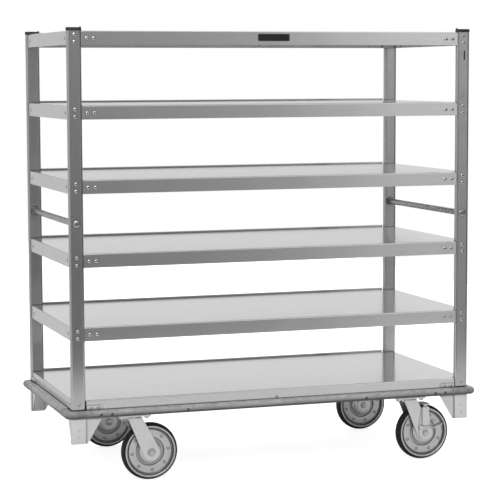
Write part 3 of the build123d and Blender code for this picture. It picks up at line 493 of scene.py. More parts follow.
def metalFinish(name, **changes):
    look = dict(plainMetalValues, **changes)
    material, tree, shader = newMaterial(name)
    finishes[name] = material
    colour = look["colour"]
    grain = placeGroup(tree, metalGrain, Stretch=grainStretch[look["grain"]], Fineness=look["fineness"])
    marks = placeGroup(tree, handlingMarks)
    wear = placeGroup(tree, edgeWear, Radius=look["edgeRadius"])
    dust = placeGroup(tree, settledDust)
    limits = {"Reach": look["grimeReach"], "Open": look["grimeOpen"], "Closed": look["grimeClosed"]}
    grime = placeGroup(tree, occlusionShade, **limits)
    lines = grain["Lines"]
    if look["grain"] == "turned":
        lines = placeGroup(tree, turnedRings, Fineness=look["fineness"])["Rings"]
    tint = mixColour(tree, grain["Clouds"], scaled(colour, 1 - look["cloudTone"]), scaled(colour, 1.0))
    tint = layered(tree, tint, (
        (grain["Bands"], grainCover, scaled(colour, 1 - 2 * look["bandTone"])),
        (lines, grainCover, scaled(colour, 1 - 2 * look["lineTone"])),
        (marks["Smudges"], look["smudge"], scaled(colour, look["smudgeTone"])),
        (marks["Scratches"], look["scratch"], grey(look["scratchTone"])),
        (wear["Mask"], look["edge"], grey(look["scratchTone"])),
        (dust["Mask"], look["dust"], grey(look["dustTone"])),
        # painted shade in corners, seams and recesses
        (grime["Mask"], look["grime"], grey(look["grimeTone"])),
    ))
    clean = look["roughness"] - look["lineRough"] / 2
    rough = mathNode(tree, "MULTIPLY_ADD", lines, look["lineRough"], clean)
    rough = mathNode(tree, "MULTIPLY_ADD", marks["Smudges"], look["smudgeRough"], rough)
    rough = mathNode(tree, "MULTIPLY_ADD", dust["Mask"], look["dust"], rough)
    height = mathNode(tree, "MULTIPLY", lines, look["lineDepth"])
    height = mathNode(tree, "MULTIPLY_ADD", marks["Scratches"], -look["lineDepth"], height)
    height = mathNode(tree, "MULTIPLY_ADD", grain["Waves"], look["waveDepth"], height)
    joinShader(tree, shader, tint, rough, height, wear["Soft Normal"])
    shader.inputs["Metallic"].default_value = 1.0
    if look["anisotropy"]:
        shader.inputs["Anisotropic"].default_value = look["anisotropy"]
        facing = addNode(tree, "NewGeometry").outputs["Normal"]
        axis = grainAxis[look["grain"]]
        nudge = [grainNudge * part for part in (axis[2], axis[0], axis[1])]
        across = vectorNode(tree, "CROSS_PRODUCT", axis, facing)
        across = vectorNode(tree, "ADD", across, nudge)
        across = vectorNode(tree, "NORMALIZE", across)
        plug(tree, shader.inputs["Tangent"], across)


# Mouldings and rubber
plainMouldValues = {
    "colour": (0.2, 0.2, 0.2),
    "roughness": 0.45,
    "pebbleDepth": 0.00003,
    "pebbleRough": 0.12,
    "fineness": 900.0,
    "stretch": (1.0, 1.0, 1.0),
    "mottle": 0.2,
    "edge": 0.25,
    "edgeRadius": 0.0006,
    "edgeTone": 0.35,
    "smudge": 0.2,
    "smudgeTone": 0.6,
    "smudgeRough": 0.12,
    # pale layer on upward faces: dust, and painted top light where it is strong
    "dust": 0.15,
    "dustTone": 0.45,
    "dustLowest": 0.5,
    # painted shade on faces that turn down: amount and tone
    "under": 0.0,
    "undersideShadeTone": 0.15,
    # painted shade in corners, seams and recesses
    "grime": 0.7,
    "grimeTone": 0.1,
    "grimeReach": 0.004,
    "specular": 0.4,
}


def mouldedFinish(name, **changes):
    look = dict(plainMouldValues, **changes)
    material, tree, shader = newMaterial(name)
    finishes[name] = material
    colour = look["colour"]
    skin = placeGroup(tree, pebble, Fineness=look["fineness"], Stretch=look["stretch"])
    marks = placeGroup(tree, handlingMarks)
    wear = placeGroup(tree, edgeWear, Radius=look["edgeRadius"])
    dust = placeGroup(tree, settledDust, Lowest=look["dustLowest"])
    grime = placeGroup(tree, occlusionShade, Reach=look["grimeReach"])
    pale = scaled(colour, 1 + look["mottle"])
    deep = scaled(colour, 1 - look["mottle"])
    tint = layered(tree, mixColour(tree, skin["Mottle"], deep, pale), (
        (marks["Smudges"], look["smudge"], scaled(colour, look["smudgeTone"])),
        (marks["Scratches"], look["edge"], grey(look["edgeTone"])),
        (wear["Mask"], look["edge"], grey(look["edgeTone"])),
        # pale layer on upward faces: dust, and painted top light on the bumper
        (dust["Mask"], look["dust"], grey(look["dustTone"])),
        # painted underside shade
        (dust["Underside Shade"], look["under"], scaled(colour, look["undersideShadeTone"])),
        # painted shade in corners, seams and recesses
        (grime["Mask"], look["grime"], scaled(colour, look["grimeTone"])),
    ))
    clean = look["roughness"] - look["pebbleRough"] / 2
    rough = mathNode(tree, "MULTIPLY_ADD", skin["Height"], look["pebbleRough"], clean)
    rough = mathNode(tree, "MULTIPLY_ADD", marks["Smudges"], look["smudgeRough"], rough)
    height = mathNode(tree, "MULTIPLY", skin["Height"], look["pebbleDepth"])
    joinShader(tree, shader, tint, rough, height, wear["Soft Normal"])
    shader.inputs["Specular IOR Level"].default_value = look["specular"]


# The finishes themselves
# painted crevice shade kept to tight seams in the shelves, posts and legs
tightSeams = {"grimeOpen": 0.985, "grimeClosed": 0.75}
metalFinish(
    "shelf_aluminium",
    colour=(0.8, 0.8, 0.8),
    roughness=0.16,
    grain="x",
    anisotropy=0.6,
    waveDepth=0.0004,
    smudge=0.03,
    smudgeRough=0.012,
    scratch=0.08,
    dust=0.015,
    lineRough=0.03,
    grime=0.5,
    grimeReach=0.006,
    **tightSeams,
)
metalFinish(
    "post_aluminium",
    colour=(0.62, 0.62, 0.62),
    roughness=0.19,
    grain="z",
    anisotropy=0.5,
    bandTone=0.1,
    smudgeRough=0.03,
    scratch=0.15,
    grime=0.5,
    grimeReach=0.006,
    **tightSeams,
)
metalFinish(
    "leg_sheet",
    colour=(0.92, 0.92, 0.92),
    roughness=0.36,
    grain="z",
    anisotropy=0.3,
    grimeReach=0.008,
    **tightSeams,
)
# rivets: strong painted shade in the mandrel hole and round the head
metalFinish(
    "rivet_aluminium",
    colour=(0.92, 0.92, 0.92),
    roughness=0.25,
    edge=0.2,
    grime=1.0,
    grimeTone=0.03,
    grimeOpen=0.97,
    grimeClosed=0.6,
)
mouldedFinish("black_cap", colour=(0.022, 0.022, 0.024), roughness=0.42, dust=0.12)
mouldedFinish("black_plate", colour=(0.012, 0.012, 0.013), roughness=0.36, dust=0.06)
# bumper: the strong pale layer on upper faces is painted top light, and the dark under layer is painted
# underside shade
mouldedFinish(
    "bumper_vinyl",
    colour=(0.3, 0.3, 0.3),
    roughness=0.3,
    stretch=(0.2, 0.2, 1.0),
    dust=0.8,
    dustTone=0.62,
    dustLowest=-0.1,
    under=0.85,
    specular=0.6,
)
# sleeve: pale dust on upper faces that also acts as painted top light; the under layer is painted underside
# shade
mouldedFinish(
    "bumper_sleeve",
    colour=(0.24, 0.24, 0.24),
    roughness=0.36,
    mottle=0.4,
    dust=0.45,
    under=0.7,
    specular=0.5,
)
metalFinish("dark_screw", colour=(0.1, 0.1, 0.1), roughness=0.4, scratch=0.1)
metalFinish("handle_steel", colour=(0.4, 0.4, 0.4), roughness=0.26, grain="y", anisotropy=0.4)
metalFinish("handle_screw_steel", colour=(0.5, 0.5, 0.5), roughness=0.28)
metalFinish("zinc_steel", colour=(0.95, 0.95, 0.95), roughness=0.38)
# wheel: painted shade reaching into the groove and the hub recess
metalFinish("wheel_steel", colour=(0.78, 0.78, 0.78), roughness=0.36, grain="turned", grimeReach=0.012)
metalFinish("axle_steel", colour=(0.75, 0.75, 0.75), roughness=0.3)
mouldedFinish(
    "black_tyre",
    colour=(0.014, 0.014, 0.014),
    roughness=0.55,
    pebbleDepth=0.00005,
    edge=0.15,
    edgeTone=0.1,
    dust=0.12,
    dustTone=0.2,
    specular=0.3,
)
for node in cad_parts.values():
    for index, material in enumerate(node.data.materials):
        plain = material.name.split(".")[0]
        if plain in finishes:
            node.data.materials[index] = finishes[plain]
print("finishes on the frame")


# Shapes: millimetres go in, a list of points in metres and a list of faces come out
weldReach = 0.000001
alongY = (0, 1, 0)  # way of the handles' and the wheels' axes


def roundedOutline(points, steps=4):
    outline = []
    for index, here in enumerate(points):
        corner = Vector(here[:2])
        radius = here[2] if len(here) > 2 else 0.0
        if radius <= 0:
            outline.append(corner)
            continue
        back = (Vector(points[index - 1][:2]) - corner).normalized()
        ahead = (Vector(points[(index + 1) % len(points)][:2]) - corner).normalized()
        half = back.angle(ahead) / 2
        centre = corner + (back + ahead).normalized() * radius / math.sin(half)
        start = corner + back * radius / math.tan(half) - centre
        end = corner + ahead * radius / math.tan(half) - centre
        first = math.atan2(start.y, start.x)
        sweep = (math.atan2(end.y, end.x) - first + math.pi) % (2 * math.pi) - math.pi
        for step in range(steps + 1):
            angle = first + sweep * step / steps
            outline.append(centre + Vector((math.cos(angle), math.sin(angle))) * radius)
    return outline


def lathed(profile, steps=48, closed=False, drop=0.0):
    turned = [(radius * mm, (height - drop) * mm) for radius, height in profile]
    points = []
    faces = []
    count = len(turned)
    for step in range(steps):
        angle = 2 * math.pi * step / steps
        across, along = math.cos(angle), math.sin(angle)
        points += [(radius * across, radius * along, height) for radius, height in turned]
        base = step * count
        following = (step + 1) % steps * count
        for index in range(count if closed else count - 1):
            after = (index + 1) % count
            faces.append((base + index, following + index, following + after, base + after))
    return points, faces


def stacked(rings, capped=True):
    count = len(rings[0])  # rings of 3-D points, skinned one after another
    points = [tuple(part * mm for part in spot) for ring in rings for spot in ring]
    faces = []
    for low in range(0, len(points) - count, count):
        high = low + count
        faces += [(low + i, low + (i + 1) % count, high + (i + 1) % count, high + i) for i in range(count)]
    if capped:
        faces += [tuple(reversed(range(count))), tuple(range(len(points) - count, len(points)))]
    return points, faces


def levelRing(outline, height):
    return [(spot[0], spot[1], height) for spot in outline]


def drawnUp(outline, low, high):
    return stacked([levelRing(outline, low), levelRing(outline, high)])


def placedShapes(placed):
    points = []
    faces = []
    for (shapePoints, shapeFaces), place in placed:
        base = len(points)
        points += [tuple(place @ Vector(point)) for point in shapePoints]
        faces += [tuple(base + index for index in face) for face in shapeFaces]
    return points, faces


def facing(spot, direction, turn=0.0):
    aim = Vector(direction).to_track_quat("Z", "Y").to_matrix().to_4x4()
    return Matrix.Translation(spot) @ aim @ Matrix.Rotation(turn, 4, "Z")


def shifted(x, y, z):
    return Matrix.Translation((x * mm, y * mm, z * mm))


def plainRing(radius, steps=24):
    turns = [2 * math.pi * step / steps for step in range(steps)]
    return [(radius * math.cos(turn), radius * math.sin(turn)) for turn in turns]


def hexagon(acrossFlats):
    return plainRing(acrossFlats / math.sqrt(3), 6)


def hexHead(acrossFlats, height, chamfer):
    flat = hexagon(acrossFlats)
    small = hexagon(acrossFlats - 2 * chamfer)
    levels = ((small, 0.0), (flat, chamfer / 2), (flat, height - chamfer / 2), (small, height))
    return stacked([levelRing(ring, rise) for ring, rise in levels])


def plateOutline(sizeX, sizeY, corner):
    x, y = sizeX / 2, sizeY / 2
    spots = ((x, -y, corner), (x, y, corner), (-x, y, corner), (-x, -y, corner))
    return roundedOutline(spots, 6)


def insetRings(sizeX, sizeY, corner, levels, leastCorner=0.0):
    rings = []  # one rounded rectangle for each height and inset
    for height, inset in levels:
        rounding = max(corner - inset, leastCorner)
        rings.append(levelRing(plateOutline(sizeX - 2 * inset, sizeY - 2 * inset, rounding), height))
    return rings


def roundedPlate(sizeX, sizeY, corner, low, high, edge, steps=4):
    levels = [(low, 0.0)]  # plate with rounded corners and rounded upper edges
    for step in range(steps + 1):
        angle = math.pi / 2 * step / steps
        levels.append((high - edge + edge * math.sin(angle), edge * (1 - math.cos(angle))))
    return stacked(insetRings(sizeX, sizeY, corner, levels))


def turnedRing(inner, outer, low, high, edge, steps=32):
    spots = ((inner, low, edge), (outer, low, edge), (outer, high, edge), (inner, high, edge))
    return lathed(roundedOutline(spots, steps=3), steps, closed=True)


def domedProfile(radius, rim, height, steps=7):
    turns = [math.pi / 2 * step / steps for step in range(steps + 1)]
    return [(radius * math.cos(turn), rim + (height - rim) * math.sin(turn)) for turn in turns]


def screwTail(radius, thread, pitch, length, tip):
    profile = []  # shank along -Z with rings for its thread
    turns = int((length - tip) / pitch)
    for turn in range(turns):
        profile += [(radius, -turn * pitch), (radius - thread, -(turn + 0.5) * pitch)]
    profile += [(radius, -turns * pitch), (radius - thread * 2, -length), (0.0, -length)]
    return lathed(profile, steps=16)


def weldedFrom(mesh):
    work = bmesh.new()
    work.from_mesh(mesh)
    bmesh.ops.remove_doubles(work, verts=work.verts, dist=weldReach)
    return work


def meshObject(name, shape):
    mesh = bpy.data.meshes.new(name)
    mesh.from_pydata(shape[0], [], shape[1])
    work = weldedFrom(mesh)
    bmesh.ops.recalc_face_normals(work, faces=work.faces)
    work.to_mesh(mesh)
    work.free()
    made = bpy.data.objects.new(name, mesh)
    scene.collection.objects.link(made)
    return made


def cutOut(shape, cutter):
    body = meshObject("body", shape)
    tool = meshObject("cutter", cutter)
    modifier = body.modifiers.new("cut", "BOOLEAN")
    modifier.object = tool
    modifier.operation = "DIFFERENCE"
    graph = bpy.context.evaluated_depsgraph_get()
    result = bpy.data.meshes.new_from_object(body.evaluated_get(graph))
    points = [tuple(vertex.co) for vertex in result.vertices]
    faces = [tuple(face.vertices) for face in result.polygons]
    for leftover in (body, tool):
        bpy.data.objects.remove(leftover)
    return points, faces


def addPiece(name, placed, body, slotName, stands, centre=(0, 0, 0), soften=0.0, sharp=35):
    piece = meshObject(name, placedShapes(placed))
    piece.data.shade_smooth()
    piece.data.set_sharp_from_angle(angle=math.radians(sharp))
    piece.data.materials.append(finishes[slotName])
    piece.location = centre
    if soften:
        modifier = piece.modifiers.new("soft_edges", "BEVEL")
        modifier.width = soften * mm
        modifier.segments = 2
        modifier.limit_method = "ANGLE"
        modifier.angle_limit = math.radians(sharp)
        modifier.harden_normals = True
    bpy.context.view_layer.update()
    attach(piece, body)
    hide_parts(*stands)


def looseBoxes(node):
    work = weldedFrom(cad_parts[node].data)
    seen = set()
    boxes = []  # lowest and highest corner of every loose part
    for first in work.verts:
        if first in seen:
            continue
        seen.add(first)
        waiting = [first]
        low = Vector(first.co)
        high = Vector(first.co)
        while waiting:
            vertex = waiting.pop()
            for axis in range(3):
                low[axis] = min(low[axis], vertex.co[axis])
                high[axis] = max(high[axis], vertex.co[axis])
            for edge in vertex.link_edges:
                other = edge.other_vert(vertex)
                if other not in seen:
                    seen.add(other)
                    waiting.append(other)
        boxes.append((low, high))
    work.free()
    return boxes


def outwardPins(node):
    pins = []  # middle of the head's face, way it looks and whole length
    for low, high in looseBoxes(node):
        size = high - low
        middle = (low + high) / 2
        axis = 1 if abs(size.x - size.z) < abs(size.y - size.z) else 0
        side = math.copysign(1, middle[axis])
        spot = middle.copy()
        spot[axis] = high[axis] if side > 0 else low[axis]
        way = Vector((0, 0, 0))
        way[axis] = side
        pins.append((spot, way, size[axis]))
    return pins


# Blind rivets: domed head with the mandrel's hole, and the bulb behind the sheet
rivetLook = {
    "headRadius": 6.0,
    "headHeight": 2.3,
    "rimHeight": 0.4,
    "hollowRadius": 2.9,
    "hollowEdge": 0.25,
    "hollowDepth": 1.9,
    "bulbRadius": 4.6,
    "bulbHeight": 1.8,
    "bulbRound": 0.7,
    "bulbEndRound": 0.3,
}


def rivetHead(look):
    radius, hollow, edge = look["headRadius"], look["hollowRadius"], look["hollowEdge"]
    dome = domedProfile(radius, look["rimHeight"], look["headHeight"])
    rise = [spot for spot in dome if spot[0] > hollow + edge]
    lip = rise[-1][1]
    floor = lip - look["hollowDepth"]
    hole = [(hollow + edge, lip), (hollow, lip - edge), (hollow, floor), (0.0, floor)]
    return lathed([(radius, 0.0)] + rise + hole, steps=24, drop=look["headHeight"])


def addRivets(look):
    head = rivetHead(look)
    radius, height = look["bulbRadius"], look["bulbHeight"]
    bulb = lathed(roundedOutline([
        (0.0, 0.0),
        (radius, 0.0, look["bulbRound"]),
        (radius, height, look["bulbEndRound"]),
        (0.0, height),
    ]), steps=16)
    placed = []
    for spot, way, length in outwardPins("shelf_rivets"):
        placed.append((head, facing(spot, way)))
        placed.append((bulb, facing(spot - way * length, way)))
    addPiece("rivet_heads", placed, "frame", "rivet_aluminium", ["shelf_rivets"])


addRivets(rivetLook)


# Short studs in the faces of the legs
studLook = {"radius": 3.2, "height": 0.95, "rim": 0.2, "foot": 0.8}


def addStuds(look):
    radius, height = look["radius"], look["height"]
    dome = domedProfile(radius, look["rim"], height)
    stud = lathed([(radius, -look["foot"])] + dome, steps=20, drop=height)
    placed = [(stud, facing(spot, way)) for spot, way, length in outwardPins("leg_studs")]
    addPiece("stud_heads", placed, "frame", "rivet_aluminium", ["leg_studs"])


addStuds(studLook)


# Pan-head screws with a cross recess, sunk in the bumper
crossScrewLook = {
    "headRadius": 4.2,
    "headHeight": 2.6,
    "rim": 0.6,
    "crossLength": 4.6,
    "crossWidth": 1.1,
    "crossDepth": 1.5,
    "shankRadius": 2.2,
    "thread": 0.25,
    "pitch": 1.2,
    "turnDeg": 20.0,
    "turnPerMetre": 70.0,
}


def crossHead(look):
    radius, top, depth = look["headRadius"], look["headHeight"], look["crossDepth"]
    head = lathed([(0.0, 0.0), (radius, 0.0)] + domedProfile(radius, look["rim"], top), steps=28)
    long, wide = look["crossLength"] / 2, look["crossWidth"] / 2
    half = [(wide, long), (wide, wide), (long, wide), (long, -wide), (wide, -wide), (wide, -long)]
    return cutOut(head, drawnUp(half + [(-x, -y) for x, y in half], top - depth, top + depth))


def addBumperScrews(look):
    head = crossHead(look)
    pitch = look["pitch"]
    placed = []
    for spot, way, length in outwardPins("bumper_screws"):
        seat = spot - way * look["headHeight"] * mm
        shank = length / mm - look["headHeight"]
        tail = screwTail(look["shankRadius"], look["thread"], pitch, shank, 2 * pitch)
        turn = math.radians(look["turnDeg"] + look["turnPerMetre"] * abs(spot.x))
        placed += [(head, facing(seat, way, turn)), (tail, facing(seat, way))]
    addPiece("bumper_screw_heads", placed, "frame", "dark_screw", ["bumper_screws"])


addBumperScrews(crossScrewLook)


# Round-headed socket screws that hold the push handles
handleScrewLook = {
    "headRadius": 12.7,
    "headHeight": 4.0,
    "crownCut": 0.4,  # the dome is cut flat this far below its top
    "rim": 1.2,
    "socket": 7.8,
    "socketDepth": 2.6,
    "shankRadius": 4.0,
    "turnDeg": 12.0,
    "turnPerMetre": 9.0,
}


def addHandleScrews(look):
    radius, top, shank = look["headRadius"], look["headHeight"], look["shankRadius"]
    dome = domedProfile(radius, look["rim"], top + look["crownCut"], 9)
    head = lathed([(0.0, 0.0), (radius, 0.0)] + [(reach, min(height, top)) for reach, height in dome])
    head = cutOut(head, drawnUp(hexagon(look["socket"]), top - look["socketDepth"], 1.5 * top))
    placed = []
    for spot, way, length in outwardPins("handle_screws"):
        seat = spot - way * top * mm
        end = top - length / mm
        turn = math.radians(look["turnDeg"] + look["turnPerMetre"] * spot.x)
        placed.append((head, facing(seat, way, turn)))
        placed.append((lathed([(shank, 0.0), (shank, end), (0.0, end)], steps=20), facing(seat, way)))
    addPiece("handle_screw_heads", placed, "frame", "handle_screw_steel", ["handle_screws"])


addHandleScrews(handleScrewLook)


# Push handles: bar with a collar at each end
handleLook = {
    "radius": 11.0,
    "collarRadius": 15.0,
    "collarWidth": 6.0,
    "edge": 1.0,
    "neck": 0.6,
    "neckLength": 1.5,
    "neckSlope": 1.0,
    "neckRound": 0.3,
    "neckCorner": 0.2,
}


def addHandle(side, look):
    low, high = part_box(side + "_handle_rod")
    half = (high.y - low.y) / 2 / mm
    radius, collar, edge, bend = look["radius"], look["collarRadius"], look["edge"], look["neckRound"]
    shoulder = half - look["collarWidth"]
    neckEnd = shoulder - look["neckLength"]
    outline = roundedOutline([
        (0.0, half),
        (collar, half, edge),
        (collar, shoulder, edge),
        (radius - look["neck"], shoulder, look["neckCorner"]),
        (radius - look["neck"], neckEnd, bend),
        (radius, neckEnd - look["neckSlope"], bend),
        (radius, 0.0),
        (0.0, 0.0),
    ])[:-1]
    profile = outline + [(spot[0], -spot[1]) for spot in reversed(outline[:-1])]
    placed = [(lathed(profile, steps=40), facing((0, 0, 0), alongY))]
    stands = [side + "_handle_rod"]
    addPiece(side + "_handle_bar", placed, "frame", "handle_steel", stands, (low + high) / 2)


for side in ("left", "right"):
    addHandle(side, handleLook)
print("rivets, screws and handles made")


# Post caps: rounded head with a low ridge and the plug in the tube
capLook = {
    "corner": 10.2,
    "edge": 3.0,
    "edgeSteps": 5,
    "ridgeWidth": 3.0,
    "ridgeHeight": 3.0,
    "ridgeShorter": 9.0,
    "ridgeCorner": 1.2,
    "ridgeEdge": 0.9,
    "ridgeSink": 2.0,
    "ridgeInset": 4.2,
    "plugDepth": 8.0,
    "plugInset": 3.0,
    "plugLap": 1.0,
    "lipHeight": 1.2,
    "lipInset": 0.35,
    "lipSlope": 0.3,
}


def addCap(corner, look):
    sideX, sideY = corners[corner]
    low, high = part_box(corner + "_post_cap")
    size = (high - low) / mm
    foot, edge, lip, steps = look["plugDepth"], look["edge"], look["lipInset"], look["edgeSteps"]
    top = size.z - look["ridgeHeight"]
    lipTop = foot + look["lipHeight"]
    levels = [(foot, lip), (lipTop, lip), (lipTop + look["lipSlope"], 0.0), (top - edge, 0.0)]
    for step in range(1, steps + 1):
        angle = math.pi / 2 * step / steps
        levels.append((top - edge * (1 - math.sin(angle)), edge * (1 - math.cos(angle))))
    head = stacked(insetRings(size.x, size.y, look["corner"], levels))
    plugLevels = [(0.0, look["plugInset"]), (foot + look["plugLap"], look["plugInset"])]
    plug = stacked(insetRings(size.x, size.y, look["corner"], plugLevels))
    ridge = roundedPlate(
        look["ridgeWidth"],
        size.y - look["ridgeShorter"],
        look["ridgeCorner"],
        top - look["ridgeSink"],
        size.z,
        look["ridgeEdge"],
    )
    still = Matrix.Identity(4)
    ridgePlace = shifted(-sideX * (size.x / 2 - look["ridgeInset"]), 0, 0)
    placed = [(head, still), (plug, still), (ridge, ridgePlace)]
    centre = Vector(((low.x + high.x) / 2, (low.y + high.y) / 2, low.z))
    addPiece(corner + "_cap", placed, "frame", "black_cap", [corner + "_post_cap"], centre)


for corner in corners:
    addCap(corner, capLook)


# Bare nameplate with a raised rim
nameplateLook = {
    "corner": 3.0,
    "leastCorner": 0.5,
    "rim": 2.0,
    "rimRound": 0.35,
    "rimBulge": 0.3,  # share of the rounding at its middle
    "fieldDepth": 0.45,
    "fieldSlope": 0.4,
    "pinRadius": 1.3,
    "pinRim": 0.1,
    "pinHeight": 0.5,
    "pinInset": 4.0,
}


def addNameplate(look):
    low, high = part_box("nameplate")
    size = (high - low) / mm
    rim, edge = look["rim"], look["rimRound"]
    bulge = edge * look["rimBulge"]
    field = size.y - look["fieldDepth"]
    levels = [(0.0, 0.0), (size.y - edge, 0.0), (size.y - bulge, bulge), (size.y, edge)]
    levels += [(size.y, rim - edge), (size.y - bulge, rim - bulge)]
    levels += [(field, rim), (field, rim + look["fieldSlope"])]
    plate = stacked(insetRings(size.x, size.z, look["corner"], levels, look["leastCorner"]))
    pin = lathed(domedProfile(look["pinRadius"], look["pinRim"], look["pinHeight"]), steps=16)
    front = (0, -1, 0)
    placed = [(plate, facing((0, 0, 0), front))]
    for side in (-1, 1):
        spot = (side * (size.x / 2 - rim - look["pinInset"]) * mm, -field * mm, 0)
        placed.append((pin, facing(spot, front)))
    centre = Vector(((low.x + high.x) / 2, high.y, (low.z + high.z) / 2))
    addPiece("bare_nameplate", placed, "frame", "black_plate", ["nameplate"], centre)


addNameplate(nameplateLook)
print("caps and plate made")


# Caster bolts and nuts, chamfered
boltLook = {
    "head": 16.0,
    "headHeight": 6.0,
    "nutHeight": 7.5,
    "chamfer": 1.2,
    "radius": 4.7,
    "thread": 0.4,
    "pitch": 1.5,
    "turnPerMetre": 370.0,
}


def addCasterBolts(look):
    boxes = sorted(looseBoxes("caster_bolts"), key=lambda box: box[1].z - box[0].z)
    half = len(boxes) // 2
    head = hexHead(look["head"], look["headHeight"], look["chamfer"])
    nut = hexHead(look["head"], look["nutHeight"], look["chamfer"])
    placed = []
    for low, high in boxes[half:]:
        spot = Vector(((low.x + high.x) / 2, (low.y + high.y) / 2, high.z - look["headHeight"] * mm))
        length = (spot.z - low.z) / mm
        tail = screwTail(look["radius"], look["thread"], look["pitch"], length, look["pitch"])
        turn = Matrix.Rotation(math.radians(look["turnPerMetre"] * spot.x), 4, "Z")
        placed.append((head, Matrix.Translation(spot) @ turn))
        placed.append((tail, Matrix.Translation(spot)))
    for low, high in boxes[:half]:
        spot = Vector(((low.x + high.x) / 2, (low.y + high.y) / 2, low.z))
        placed.append((nut, Matrix.Translation(spot)))
    addPiece("caster_fixings", placed, "frame", "zinc_steel", ["caster_bolts"])


addCasterBolts(boltLook)


# Tyres: solid rubber with a crowned tread, a mould seam and a ring in each sidewall
tyreLook = {
    "seatRadius": 88.0,
    "seatHalf": 17.5,
    "lipRadius": 92.1,
    "lipRound": 0.3,
    "shoulder": 94.0,
    "crownSteps": 40,
    "seamWidth": 1.6,
    "seamRise": 0.3,
    "ringAt": 19.4,
    "ringWidth": 1.2,
    "ringDepth": 0.5,
}


def tyreProfile(radius, half, look):
    sag = radius - look["shoulder"]
    crown = (half * half + sag * sag) / (2 * sag)
    reach = math.asin(half / crown)
    seat, seatHalf, lip = look["seatRadius"], look["seatHalf"], look["lipRadius"]
    side = half - look["lipRound"]
    profile = [(seat, -seatHalf), (lip, -seatHalf), (lip, -side)]
    steps = look["crownSteps"]
    for step in range(steps + 1):
        angle = reach * (2 * step / steps - 1)
        along = crown * math.sin(angle)
        rise = radius - crown + crown * math.cos(angle)
        if abs(along) < look["seamWidth"] / 2:
            rise -= look["seamRise"]
        if abs(abs(along) - look["ringAt"]) < look["ringWidth"] / 2:
            rise -= look["ringDepth"]
        profile.append((rise, along))
    return profile + [(lip, side), (lip, seatHalf), (seat, seatHalf)]


def addTyre(corner, look):
    low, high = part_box(corner + "_tyre")
    profile = tyreProfile((high.z - low.z) / 2 / mm, (high.y - low.y) / 2 / mm, look)
    placed = [(lathed(profile, steps=128, closed=True), facing((0, 0, 0), alongY))]
    body = corner + "_rolling_wheel"
    addPiece(corner + "_rubber", placed, body, "black_tyre", [corner + "_tyre"], (low + high) / 2, sharp=50)


# Wheels: two pressed discs riveted together round a hub, with a rolled rim
wheelLook = {
    "bore": 9.7,
    "boreRound": 0.6,
    "hubRadius": 17.0,
    "hubRound": 1.0,
    "coneRadius": 22.0,
    "coneHalf": 18.0,
    "discHalf": 13.0,
    "recessInner": 40.0,
    "recessOuter": 51.0,
    "recessHalf": 6.0,
    "discEdge": 77.5,
    "grooveHalf": 7.0,
    "grooveSlope": 2.0,
    "rimInner": 86.0,
    "rimHalf": 21.0,
    "rimRound": 1.0,
    "lipRadius": 91.9,
    "lipRound": 1.4,
    "seatRadius": 88.0,
    "seatHalf": 17.4,
    "seatRound": 0.3,
    "seatCorner": 0.5,
    "pressRound": 2.2,
    "rivets": 8,
    "rivetCircle": 66.5,
    "rivetRadius": 3.3,
    "rivetRim": 0.2,
    "rivetHeight": 1.2,
    "rivetFoot": 2.5,
    "pitDepth": 2.2,
    "pitRadius": 5.8,
    "rivetTurnDeg": {"front_left": 5.8, "front_right": 21.0, "back_left": 33.0, "back_right": 14.0},
}


def wheelProfile(half, look):
    press, disc, recess = look["pressRound"], look["discHalf"], look["recessHalf"]
    groove = look["grooveHalf"]
    slope, rim, lip, seat = look["grooveSlope"], look["rimHalf"], look["lipRadius"], look["seatHalf"]
    side = [
        (look["bore"], half, look["boreRound"]),
        (look["hubRadius"], half, look["hubRound"]),
        (look["coneRadius"], look["coneHalf"], press),
        (look["recessInner"], disc, press),
        (look["recessInner"], recess, press),
        (look["recessOuter"], recess, press),
        (look["recessOuter"], disc, press),
        (look["discEdge"], disc, press),
        (look["discEdge"] + slope, groove, press),
        (look["rimInner"] - slope, groove, press),
        (look["rimInner"], rim, look["rimRound"]),
        (lip, rim, look["lipRound"]),
        (lip, seat, look["seatCorner"]),
        (look["seatRadius"], seat, look["seatRound"]),
    ]
    outline = roundedOutline(side + [(spot[0], -spot[1]) + spot[2:] for spot in reversed(side)])
    return [(spot[0], spot[1]) for spot in outline]


def addWheel(corner, look):
    low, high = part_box(corner + "_wheel")
    body = lathed(wheelProfile((high.y - low.y) / 2 / mm, look), steps=96, closed=True)
    radius, depth, reach = look["rivetRadius"], look["pitDepth"], look["rivetCircle"] * mm
    dome = domedProfile(radius, look["rivetRim"], look["rivetHeight"])
    pin = lathed([(radius, -look["rivetFoot"])] + dome, steps=24)
    pit = drawnUp(plainRing(look["pitRadius"]), -depth, 2 * depth)
    pins = []
    pits = []
    for count in range(look["rivets"]):
        angle = 2 * math.pi * count / look["rivets"] - math.radians(look["rivetTurnDeg"][corner])
        for side in (-1, 1):
            spot = Vector((reach * math.cos(angle), reach * math.sin(angle), side * look["discHalf"] * mm))
            place = facing(spot, (0, 0, side))
            pins.append((pin, place))
            pits.append((pit, place))
    turn = facing((0, 0, 0), alongY)
    placed = [(cutOut(body, placedShapes(pits)), turn), (placedShapes(pins), turn)]
    rolling = corner + "_rolling_wheel"
    centre = (low + high) / 2
    addPiece(corner + "_pressed_wheel", placed, rolling, "wheel_steel", [corner + "_wheel"], centre)


# Axles: bolt, nut, washers and the bearing sleeve
axleLook = {
    "radius": 6.35,
    "thread": 0.4,
    "pitch": 1.4,
    "head": 19.0,
    "headHeight": 8.0,
    "headTurnDeg": 11.0,
    "nutHeight": 9.0,
    "nutTurnDeg": 23.0,
    "tip": 4.0,
    "chamfer": 1.6,
    "washer": 13.0,
    "washerHeight": 3.0,
    "washerEdge": 0.5,
    "sleeve": 9.5,
    "sleeveEdge": 0.2,
    "forkHalf": 29.0,
    "legHeight": 5.0,
    "thrustRadius": 15.0,
    "thrustHeight": 0.7,
    "thrustFit": 0.1,
    "braked": ("front_right", "back_right"),
}


